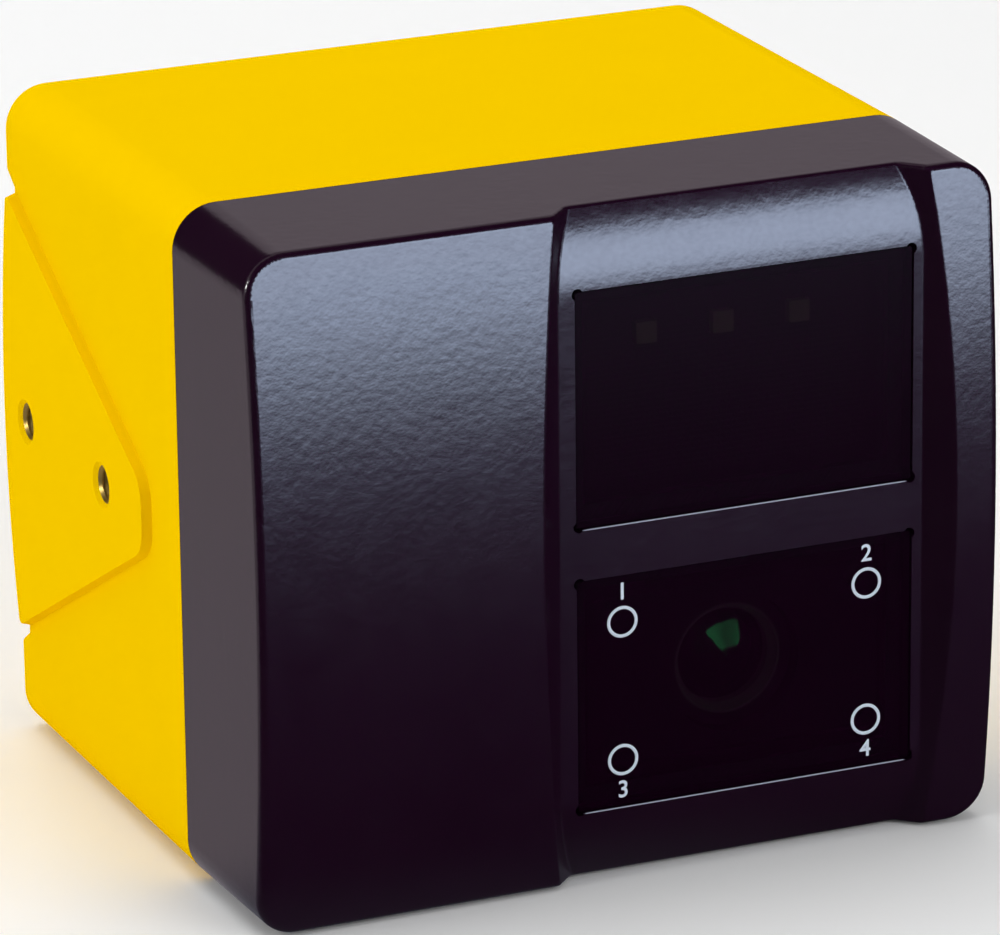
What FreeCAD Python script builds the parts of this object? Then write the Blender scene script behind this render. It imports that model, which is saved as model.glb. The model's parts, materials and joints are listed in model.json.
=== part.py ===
import FreeCAD, Part
import math
import os
from types import SimpleNamespace

import Sketcher
from FreeCAD import Vector

# Time-of-flight safety camera: a black domed front cover with two windows on a
# yellow cast housing, with the optics, boards and rear connectors inside.
# Every piece is drawn in one frame: x from mid-width, y rearwards from the plane
# of the window bay's floor, z from mid-height. The placement of each piece then
# puts the origin under the middle of the whole camera, at its base.

DIMENSIONS = [
    # housing and cover
    ("housing_width", 80.0, "across the side faces"),
    ("housing_height", 70.0, "base to top"),
    ("corner_radius", 4.5, "outline corners"),
    ("joint_depth", 17.3, "bay floor plane to the joint of cover and housing"),
    ("rear_depth", 66.0, "bay floor plane to the rear face"),
    ("wall", 3.5, "side walls of both castings"),
    ("cavity_corner", 17.5, "corner radius of the inner space"),
    ("cover_draft", 1.1, "draft of the cover in degrees"),
    ("front_lip", 0.3, "front face before the bay floor at its top and bottom edges"),
    ("front_dome", 2.34, "rise of the domed front face at mid-height"),
    ("edge_round", 0.8, "round along the front edges"),
    ("rear_round", 1.0, "round along the rear edges"),
    ("front_wall", 5.2, "bay floor to the cover's inner face"),
    ("relief_depth", 3.6, "extra depth of the cover's inner space beside the bay"),
    ("relief_corner", 10.0, "corner radius of that deeper space"),
    ("relief_border", 8.0, "top and base of the cover to the deeper space"),
    ("relief_side", 3.87, "side of the inner space to the deeper space"),
    # window bay
    ("rim_width", 7.6, "right side face to the foot of the right slope"),
    ("bay_border", 9.3, "top and base to the flat part of the bay floor"),
    ("bay_recede", 2.3, "fall of the bay floor at the top and bottom edges"),
    ("brow_round", 0.5, "rounding between the bay's slopes and the front face"),
    ("bay_round", 0.6, "round at the foot of the bay slopes"),
    # windows
    ("window_width", 36.3, "each window"),
    ("window_border", 8.16, "top and base to the windows, on average"),
    ("window_left", 2.02, "foot of the left slope to the windows"),
    ("window_right", 1.21, "windows to the foot of the right slope"),
    ("window_gap", 5.6, "bar between the two windows"),
    ("window_drop", 0.34, "middle of that bar below mid-height"),
    ("glass_thickness", 2.0, "both windows"),
    ("glass_recess", 0.2, "window face below the bay floor"),
    ("glass_clearance", 0.15, "window edge to its pocket"),
    ("corner_relief", 0.6, "radius of the pocket's corner reliefs"),
    ("gasket_thickness", 0.3, "adhesive gasket behind each window"),
    ("gasket_width", 1.6, "adhesive gasket behind each window"),
    ("ledge", 2.0, "window edge to the side of the light opening"),
    ("lens_ledge", 3.02, "lens window's edge to the top of the light opening"),
    # joint seal and cover screws
    ("seal_width", 1.5, "joint seal"),
    ("seal_depth", 1.2, "joint seal groove"),
    ("seal_corner", 18.0, "corner radius of the seal's middle line"),
    ("screw_inset", 4.7, "side faces to the cover screws"),
    ("cover_screw", 1.5, "radius of the cover screws"),
    ("cover_screw_head", 2.75, "radius of the cover screw heads"),
    ("cover_screw_head_height", 3.0, "height of the cover screw heads"),
    ("cover_screw_bite", 8.0, "cover screw length in the cover"),
    ("counterbore", 3.1, "radius of the screw head pockets"),
    ("counterbore_depth", 4.5, "depth of the screw head pockets"),
    ("thread_clearance", 0.05, "screw radius under its hole radius"),
    ("screw_clearance", 0.2, "through hole radius over the screw radius"),
    ("tip_clearance", 1.0, "screw tip to the bottom of its hole"),
    # side pads with mounting holes
    ("pad_height", 1.0, "side pads above the side faces"),
    ("pad_slope", 17.0, "slope of the pad edges in degrees"),
    ("pad_front", 25.2, "bay floor plane to the front of the pads"),
    ("pad_front_half", 3.7, "half of the pads' front edge, corners unrounded"),
    ("pad_border", 11.0, "top and base to the pads' rear corners, on average"),
    ("pad_rear", 63.45, "bay floor plane to the pads' rear corners"),
    ("pad_bulge", 2.55, "bulge of the pads' rear edge"),
    ("pad_corner", 4.0, "corner radius at the pads' front"),
    ("pad_rear_corner", 1.0, "corner radius at the pads' rear"),
    ("pad_rise", 0.9, "middle of the pads above mid-height"),
    ("pad_root", 4.0, "depth of the pads into the side walls"),
    ("mount_rear", 59.2, "bay floor plane to the rear mounting holes"),
    ("mount_spacing", 22.3, "between the two mounting holes of a side"),
    ("mount_radius", 1.65, "core hole of the mounting thread"),
    ("mount_depth", 8.0, "depth of the mounting holes"),
    ("mount_sink", 0.75, "countersink of the mounting holes"),
    ("mount_boss", 3.6, "radius of the bosses behind the mounting holes"),
    ("mount_floor", 1.4, "metal behind the mounting holes"),
    # rear recess with the connectors
    ("channel_depth", 3.0, "rear face to the recess floor"),
    ("channel_border", 9.1, "top and base to the recess at the rear face"),
    ("channel_slope", 2.0, "width of the recess's sloped edges"),
    ("channel_rise", 0.6, "middle of the rear recess above mid-height"),
    ("rear_wall", 3.5, "recess floor to the housing's inner rear face"),
    ("connector_spacing", 34.0, "between the two connectors"),
    ("connector_reach", 11.7, "recess floor to the end of the longer connector"),
    ("network_reach", 9.5, "recess floor to the end of the shorter connector"),
    ("coupling_radius", 6.0, "twelve millimetre coupling thread"),
    ("power_bore", 4.7, "inside of the power connector's rim"),
    ("network_bore", 5.45, "core of the network connector's inner thread"),
    ("network_rim", 7.6, "outside of the network connector's rim"),
    ("flange_radius", 9.6, "connector flanges"),
    ("flange_thickness", 2.4, "connector flanges"),
    ("neck_radius", 8.0, "connector necks through the rear wall"),
    ("neck_clearance", 0.1, "neck to its hole"),
    ("neck_end", 5.5, "neck length inside the rear wall"),
    ("socket_depth", 8.6, "rim to the insert's face"),
    ("ring_radius", 8.7, "middle of the connector sealing rings"),
    ("ring_section", 0.65, "half the height of the connector sealing rings"),
    ("nut_flat", 9.5, "middle to a flat of the connector nuts"),
    ("nut_thickness", 3.0, "connector nuts"),
    ("power_pin", 0.38, "radius of the power pins"),
    ("power_pin_length", 6.2, "power pins above the insert's face"),
    ("power_circle", 3.45, "circle of the outer power pins"),
    ("power_inner_circle", 1.7, "circle of the inner power pins"),
    ("contact_radius", 0.45, "network contacts"),
    ("contact_circle", 3.0, "circle of the network contacts"),
    ("contact_spread", 36.0, "angle between the two contacts of a pair"),
    ("contact_drop", 0.8, "network contacts below the insert's face"),
    ("network_insert_drop", 1.2, "network insert's face below its rim"),
    ("shield_width", 0.8, "slot of the network insert's shield cross"),
    ("shield_depth", 1.5, "depth of that slot"),
    ("vent_radius", 4.2, "pressure vent cap"),
    ("vent_height", 1.8, "pressure vent cap"),
    ("vent_stem", 2.6, "radius of the pressure vent's stem"),
    ("vent_drop", 17.0, "pressure vent below mid-height"),
    # illumination unit
    ("board_thickness", 1.6, "all circuit boards"),
    ("board_overlap", 1.1, "illumination board past the window at the sides"),
    ("board_overhang", 0.18, "illumination board past the window above and below"),
    ("emitter_pitch", 8.3, "between the infrared emitters"),
    ("emitter_size", 2.2, "side of an emitter"),
    ("emitter_height", 1.0, "height of an emitter"),
    ("emitter_rise", 5.3, "emitters above the middle of their window"),
    ("emitter_frame", 1.0, "height of the seat round the light opening"),
    ("emitter_board_corner", 3.0, "illumination board"),
    ("corner_screw_inset_x", 1.65, "side of the board to its screws"),
    ("corner_screw_inset_z", 3.0, "top of the board to its screws"),
    ("spreader_thickness", 3.0, "heat spreader"),
    ("spreader_margin", 0.25, "board edge to the heat spreader's edge"),
    ("spreader_slot", 9.0, "gap in the spreader for the flat cable's plug"),
    ("small_screw", 0.8, "radius of the small screws"),
    ("small_head", 1.6, "radius of the small screw heads"),
    ("small_head_height", 1.3, "height of the small screw heads"),
    # lens, sensor and status lights
    ("sensor_inset", 1.95, "sensor and status boards inside the window at the sides"),
    ("sensor_overhang", 1.78, "sensor and status boards past the window above and below"),
    ("post_inset_x", 3.3, "side of the sensor board to its screws"),
    ("post_inset_z", 2.6, "top of the sensor board to its screws"),
    ("sensor_post_radius", 2.0, "sensor posts"),
    ("status_board_y", 12.4, "front of the status board"),
    ("sensor_board_y", 22.0, "front of the sensor board"),
    ("sensor_board_corner", 4.6, "sensor and status boards"),
    ("light_inset_x", 4.8, "side of the lens window to the status lights"),
    ("light_inset_z", 4.77, "top of the lens window to the status lights"),
    ("light_radius", 1.1, "light guides"),
    ("light_collar", 1.5, "collar of the light guides"),
    ("light_gap", 0.2, "light guide to its light"),
    ("status_light_size", 1.6, "side of a status light"),
    ("status_light_height", 0.7, "height of a status light"),
    ("mask_front", 3.0, "front of the lens mask"),
    ("mask_flange", 1.2, "thickness of the mask's flange"),
    ("mask_overlap", 0.15, "flange of the mask past the window"),
    ("mask_clearance", 0.2, "lens mask to the light opening"),
    ("barrel_front", 4.4, "front of the lens barrel"),
    ("bezel_radius", 7.0, "front of the lens barrel"),
    ("bezel_length", 4.0, "front of the lens barrel"),
    ("barrel_radius", 6.0, "threaded part of the lens barrel"),
    ("barrel_end", 18.0, "rear of the lens barrel"),
    ("front_lens_radius", 4.9, "front lens"),
    ("inner_lens_radius", 4.0, "inner lenses"),
    ("stop_radius", 2.6, "aperture stop"),
    ("stop_thickness", 1.0, "aperture stop"),
    ("lens_clearance", 0.03, "lens to its seat"),
    ("middle_lens_thickness", 2.6, "rim of the middle lens"),
    ("rear_lens_thickness", 3.0, "rim of the rear lens"),
    ("lens_space", 0.8, "between the rims of the middle and rear lenses"),
    ("lens_bulge", 0.3, "rise of the inner lenses over their rims"),
    ("holder_radius", 7.9, "tube of the lens holder"),
    ("holder_front", 10.2, "front of the lens holder's tube"),
    ("holder_base", 21.0, "side of the lens holder's base"),
    ("holder_base_thickness", 3.6, "lens holder's base"),
    ("holder_web", 0.8, "web that carries the filter"),
    ("filter_size", 9.6, "side of the bandpass filter"),
    ("filter_thickness", 0.55, "bandpass filter"),
    ("sensor_size", 12.0, "side of the image sensor"),
    ("sensor_height", 1.5, "image sensor"),
    ("sensor_pocket", 14.0, "side of the pocket round the sensor"),
    # main and interface boards
    ("main_board_y", 31.0, "front of the main board"),
    ("interface_board_y", 50.0, "front of the interface board"),
    ("board_side_space", 9.0, "side faces to the main and interface boards"),
    ("board_top_space", 7.0, "top and base to the main and interface boards"),
    ("board_corner_cut", 4.5, "corner radius of the inner space less that of the boards"),
    ("pillar_inset_x", 4.5, "side of the main board to the pillars"),
    ("pillar_inset_z", 8.0, "top of the main board to the pillars"),
    ("pillar_flat", 2.5, "middle to a flat of the board pillars"),
    ("pillar_boss", 3.0, "radius of the housing's pillar bosses"),
    ("pillar_screw", 1.25, "radius of the pillar studs and screws"),
    ("pillar_stud", 5.0, "length of the pillar studs"),
    ("chip_size", 14.0, "side of a safety processor"),
    ("chip_height", 1.4, "safety processors"),
    ("chip_pitch", 22.0, "between the two safety processors"),
    ("chip_rise", 8.0, "processors above mid-height"),
    ("heat_pad_thickness", 1.0, "soft pads on the processors"),
    ("bridge_thickness", 2.4, "heat bridge"),
    ("bridge_inset", 2.0, "side of the main board to the heat bridge"),
    ("bridge_foot", 11.0, "length of the heat bridge along the top wall"),
    ("bridge_low", 1.0, "lower edge of the heat bridge below mid-height"),
    ("bridge_clearance", 0.2, "heat bridge to the top wall"),
    ("bridge_collar", 3.4, "radius of the heat bridge's collars"),
    ("header_length", 30.0, "stacking connector between the boards"),
    ("header_width", 5.0, "stacking connector"),
    ("header_drop", 20.0, "stacking connector below mid-height"),
    ("plug_length", 16.0, "connector between sensor and main boards"),
    ("plug_width", 3.6, "connector between sensor and main boards"),
    ("plug_drop", 1.2, "that connector under the upper edge of the sensor board"),
    ("capacitor_radius", 4.0, "filter capacitors"),
    ("capacitor_length", 10.5, "filter capacitors"),
    ("capacitor_pitch", 9.0, "between the filter capacitors"),
    ("capacitor_drop", 8.5, "filter capacitors below mid-height"),
    ("coil_side", 10.0, "side of the power coil"),
    ("coil_height", 5.0, "power coil"),
    # flat cable between illumination and main boards
    ("flat_cable_width", 6.0, "flat cable"),
    ("flat_cable_thickness", 0.3, "flat cable"),
    ("flat_plug_width", 8.0, "plugs of the flat cable"),
    ("flat_plug_height", 2.4, "plugs of the flat cable"),
    ("flat_plug_length", 4.0, "plugs of the flat cable"),
    ("overcut", 1.0, "cutting past a face"),
]


class Size:
    """A length known as a number and as the sheet expression behind it."""

    def __init__(self, number, text):
        self.number = number
        self.text = text

    def __float__(self):
        return float(self.number)

    def __add__(self, other):
        return Size(float(self) + float(other), f"({self.text} + {text_of(other)})")

    def __radd__(self, other):
        return Size(float(other) + float(self), f"({text_of(other)} + {self.text})")

    def __sub__(self, other):
        return Size(float(self) - float(other), f"({self.text} - {text_of(other)})")

    def __rsub__(self, other):
        return Size(float(other) - float(self), f"({text_of(other)} - {self.text})")

    def __mul__(self, other):
        return Size(float(self) * float(other), f"({self.text} * {text_of(other)})")

    __rmul__ = __mul__

    def __truediv__(self, other):
        return Size(float(self) / float(other), f"({self.text} / {text_of(other)})")

    def __neg__(self):
        return Size(-float(self), f"(0 - {self.text})")


def root(length):
    """The square root of a length worked out from others."""
    return Size(math.sqrt(float(length)), f"sqrt({length.text})")


def text_of(length):
    """The expression text of a length or a plain number."""
    return length.text if isinstance(length, Size) else f"{float(length)!r}"


doc = FreeCAD.newDocument("Camera")
sheet = doc.addObject("Spreadsheet::Sheet", "Sizes")
for row, (name, number, note) in enumerate(DIMENSIONS, 1):
    sheet.set(f"A{row}", name)
    sheet.set(f"B{row}", str(number))
    sheet.set(f"C{row}", note)
    sheet.setAlias(f"B{row}", name)
doc.recompute()
d = SimpleNamespace(**{name: Size(number, f"Sizes.{name}") for name, number, note in DIMENSIONS})

subparts = []


# Placing, sketching and solid features

def bind(item, path, length):
    """Tie one property of an item to a length."""
    item.setExpression(path, text_of(length))


def new_body(label, x=0, z=0):
    """An empty piece whose own axes stand at x, z of the common frame."""
    body = doc.addObject("PartDesign::Body", label)
    body.Label = label
    bind(body, ".Placement.Base.x", x)
    bind(body, ".Placement.Base.y", -camera_middle)
    bind(body, ".Placement.Base.z", d.housing_height / 2 + z)
    subparts.append(body)
    return body


def origin_plane(body, role):
    return next(item for item in body.Origin.OriginFeatures if item.Role == role)


def new_sketch(body, role, along=0, right=0, up=0):
    """A sketch on an origin plane, moved along its normal and in the plane."""
    sketch = body.newObject("Sketcher::SketchObject", "Sketch")
    sketch.AttachmentSupport = [(origin_plane(body, role), "")]
    sketch.MapMode = "FlatFace"
    bind(sketch, ".AttachmentOffset.Base.x", right)
    bind(sketch, ".AttachmentOffset.Base.y", up)
    bind(sketch, ".AttachmentOffset.Base.z", along)
    return sketch


def front_sketch(body, y, x=0, z=0):
    """A sketch seen from the front, at depth y: right is x and up is z."""
    return new_sketch(body, "XZ_Plane", 0 - y, x, z)


def side_sketch(body, x=0):
    """A sketch seen from the right, at x: right is y and up is z."""
    return new_sketch(body, "YZ_Plane", x)


def plan_sketch(body, z=0, x=0):
    """A sketch seen from above, at height z: right is x and up is y."""
    return new_sketch(body, "XY_Plane", z, x)


def fix_point(sketch, edge, end, x, y):
    """Hold one end of an edge at x, y of its sketch."""
    for kind, axis, length in (("DistanceX", -2, x), ("DistanceY", -1, y)):
        if not isinstance(length, Size) and length == 0:
            sketch.addConstraint(Sketcher.Constraint("PointOnObject", edge, end, axis))
            continue
        number = sketch.addConstraint(
            Sketcher.Constraint(kind, -1, 1, edge, end, float(length)))
        bind(sketch, f"Constraints[{number}]", length)


def add_arc(sketch, start, end, radius, turn):
    """An arc from start to end, turning left when turn is 1 and right when it is -1."""
    chord = end - start
    rise = math.sqrt(max(float(radius) ** 2 - (chord.Length / 2) ** 2, 0.0))
    left = Vector(-chord.y, chord.x, 0) / chord.Length
    centre = (start + end) / 2 + left * rise * turn
    circle = Part.Circle(centre, Vector(0, 0, 1), float(radius))
    first = math.atan2(start.y - centre.y, start.x - centre.x)
    last = math.atan2(end.y - centre.y, end.x - centre.x)
    if turn > 0:
        edge = sketch.addGeometry(Part.ArcOfCircle(circle, first, last), False)
        ends = (1, 2)
    else:
        edge = sketch.addGeometry(Part.ArcOfCircle(circle, last, first), False)
        ends = (2, 1)
    number = sketch.addConstraint(Sketcher.Constraint("Radius", edge, float(radius)))
    bind(sketch, f"Constraints[{number}]", radius)
    return (edge, *ends)


def outline(sketch, corners):
    """A closed outline. A corner is (x, y), or (x, y, radius, turn) where an arc starts."""
    edges = []
    for corner, following in zip(corners, corners[1:] + corners[:1]):
        start = Vector(float(corner[0]), float(corner[1]), 0)
        end = Vector(float(following[0]), float(following[1]), 0)
        if len(corner) == 2:
            line = sketch.addGeometry(Part.LineSegment(start, end), False)
            edges.append((line, 1, 2))
        else:
            edges.append(add_arc(sketch, start, end, corner[2], corner[3]))
    for corner, this, following in zip(corners, edges, edges[1:] + edges[:1]):
        sketch.addConstraint(
            Sketcher.Constraint("Coincident", this[0], this[2], following[0], following[1]))
        fix_point(sketch, this[0], this[1], corner[0], corner[1])
    return sketch


def rectangle(sketch, width, height, x=0, y=0):
    left, right = x - width / 2, x + width / 2
    low, high = y - height / 2, y + height / 2
    return outline(sketch, [(left, low), (right, low), (right, high), (left, high)])


def rounded_rectangle(sketch, width, height, radius, x=0, y=0):
    left, right = x - width / 2, x + width / 2
    low, high = y - height / 2, y + height / 2
    return outline(sketch, [
        (left + radius, low), (right - radius, low, radius, 1),
        (right, low + radius), (right, high - radius, radius, 1),
        (right - radius, high), (left + radius, high, radius, 1),
        (left, high - radius), (left, low + radius, radius, 1)])


def circle(sketch, radius, x=0, y=0):
    edge = sketch.addGeometry(
        Part.Circle(Vector(float(x), float(y), 0), Vector(0, 0, 1), float(radius)), False)
    number = sketch.addConstraint(Sketcher.Constraint("Radius", edge, float(radius)))
    bind(sketch, f"Constraints[{number}]", radius)
    fix_point(sketch, edge, 3, x, y)
    return sketch


def four_circles(sketch, radius, dx, dz):
    for x, z in ((dx, dz), (-dx, dz), (dx, -dz), (-dx, -dz)):
        circle(sketch, radius, x, z)
    return sketch


def hexagon(sketch, flat):
    """A hexagon with two flats above and below, from its middle-to-flat size."""
    half_side = flat / math.sqrt(3)
    tip = flat * (2 / math.sqrt(3))
    return outline(sketch, [
        (half_side, flat), (-half_side, flat), (-tip, 0),
        (-half_side, -flat), (half_side, -flat), (tip, 0)])


def pad(body, sketch, length, forward, slope=None):
    """A solid from a sketch. Forward is along the sketch plane's normal."""
    feature = body.newObject("PartDesign::Pad", "Pad")
    feature.Profile = sketch
    bind(feature, "Length", length)
    feature.Reversed = not forward
    if slope is not None:
        bind(feature, "TaperAngle", slope)
    return feature


def cut(body, sketch, length, forward):
    """A cut from a sketch. Forward is along the sketch plane's normal."""
    feature = body.newObject("PartDesign::Pocket", "Pocket")
    feature.Profile = sketch
    bind(feature, "Length", length)
    feature.Reversed = forward
    return feature


def revolve(body, corners, x=0, z=0, remove=False):
    """A turned solid or a turned cut from radius and depth pairs, on the axis at x, z."""
    sketch = outline(plan_sketch(body, z, x), corners)
    kind = "PartDesign::Groove" if remove else "PartDesign::Revolution"
    feature = body.newObject(kind, "Turned")
    feature.Profile = sketch
    feature.ReferenceAxis = (sketch, ["V_Axis"])
    feature.Angle = 360.0
    return feature


def mirror(body, role, originals=None):
    """The whole piece so far, or the named features, repeated across an origin plane."""
    doc.recompute()
    feature = body.newObject("PartDesign::Mirrored", "Mirrored")
    if originals is None:
        feature.TransformMode = "Whole shape"
    else:
        feature.Originals = originals
    feature.MirrorPlane = (origin_plane(body, role), [""])
    body.Tip = feature
    doc.recompute()
    return feature


def mirror_to_four(body):
    mirror(body, "YZ_Plane")
    mirror(body, "XY_Plane")


def ring_of(body, original, count):
    """A feature repeated round the piece's own depth axis."""
    doc.recompute()
    feature = body.newObject("PartDesign::PolarPattern", "Ring")
    feature.Originals = [original]
    feature.Axis = (origin_plane(body, "Y_Axis"), [""])
    feature.Angle = 360.0
    feature.Occurrences = count
    body.Tip = feature
    doc.recompute()
    return feature


def edges_where(feature, wanted):
    """Names of a feature's edges whose points all satisfy a test."""
    names = []
    for number, edge in enumerate(feature.Shape.Edges, 1):
        points = [edge.valueAt(edge.FirstParameter + share * (edge.LastParameter - edge.FirstParameter))
                  for share in (0.0, 0.25, 0.5, 0.75, 1.0)]
        if all(wanted(point) for point in points):
            names.append(f"Edge{number}")
    return names


def fillet(body, base, names, radius):
    feature = body.newObject("PartDesign::Fillet", "Fillet")
    feature.Base = (base, names)
    bind(feature, "Radius", radius)
    return feature


def plate(label, y, thickness, draw, x=0, z=0):
    """A flat piece seen from the front, from depth y rearwards."""
    body = new_body(label, x, z)
    pad(body, draw(front_sketch(body, y)), thickness, forward=False)
    return body


# Sizes and places worked out from the driving ones

front_end = -(d.front_lip + d.front_dome)
channel_y = d.rear_depth - d.channel_depth
channel_mouth = d.housing_height - 2 * d.channel_border
channel_floor = channel_mouth - 2 * d.channel_slope
rear_inner = channel_y - d.rear_wall
camera_end = channel_y + d.connector_reach
camera_middle = (camera_end + front_end) / 2

half_width = d.housing_width / 2
half_height = d.housing_height / 2
cavity_width = d.housing_width - 2 * d.wall
cavity_height = d.housing_height - 2 * d.wall
seal_path_width = d.housing_width - d.wall
seal_path_height = d.housing_height - d.wall
screw_dx = half_width - d.screw_inset
screw_dz = half_height - d.screw_inset

window_height = (d.housing_height - d.window_gap) / 2 - d.window_border
window_x = half_width - d.rim_width - d.window_right - d.window_width / 2
bay_right = half_width - d.rim_width
bay_left = d.window_width / 2 + d.window_left - window_x
window_step = (d.window_gap + window_height) / 2
lens_z = -(window_step + d.window_drop)
emitter_z = window_step - d.window_drop
glass_back = d.glass_recess + d.glass_thickness
gasket_back = glass_back + d.gasket_thickness
opening_width = d.window_width - 2 * d.ledge
emitter_opening_height = window_height - 2 * d.ledge
lens_opening_height = window_height - 2 * d.lens_ledge

# boards and their fixings
emitter_board_width = d.window_width + 2 * d.board_overlap
emitter_board_height = window_height + 2 * d.board_overhang
emitter_screw_dx = emitter_board_width / 2 - d.corner_screw_inset_x
emitter_screw_dz = emitter_board_height / 2 - d.corner_screw_inset_z
sensor_board_width = d.window_width - 2 * d.sensor_inset
sensor_board_height = window_height + 2 * d.sensor_overhang
sensor_post_dx = sensor_board_width / 2 - d.post_inset_x
sensor_post_dz = sensor_board_height / 2 - d.post_inset_z
light_dx = d.window_width / 2 - d.light_inset_x
light_dz = window_height / 2 - d.light_inset_z
main_width = d.housing_width - 2 * d.board_side_space
main_height = d.housing_height - 2 * d.board_top_space
main_corner = d.cavity_corner - d.board_corner_cut
pillar_dx = main_width / 2 - d.pillar_inset_x
pillar_dz = main_height / 2 - d.pillar_inset_z
bridge_width = main_width - 2 * d.bridge_inset

emitter_board_y = d.front_wall + d.emitter_frame
spreader_y = emitter_board_y + d.board_thickness
spreader_back = spreader_y + d.spreader_thickness
status_back = d.status_board_y + d.board_thickness
sensor_back = d.sensor_board_y + d.board_thickness
main_back = d.main_board_y + d.board_thickness
interface_back = d.interface_board_y + d.board_thickness
bridge_y = main_back + d.chip_height + d.heat_pad_thickness
bridge_back = bridge_y + d.bridge_thickness
mount_front = d.mount_rear - d.mount_spacing
pad_face = half_width + d.pad_height
connector_x = d.connector_spacing / 2


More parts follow.
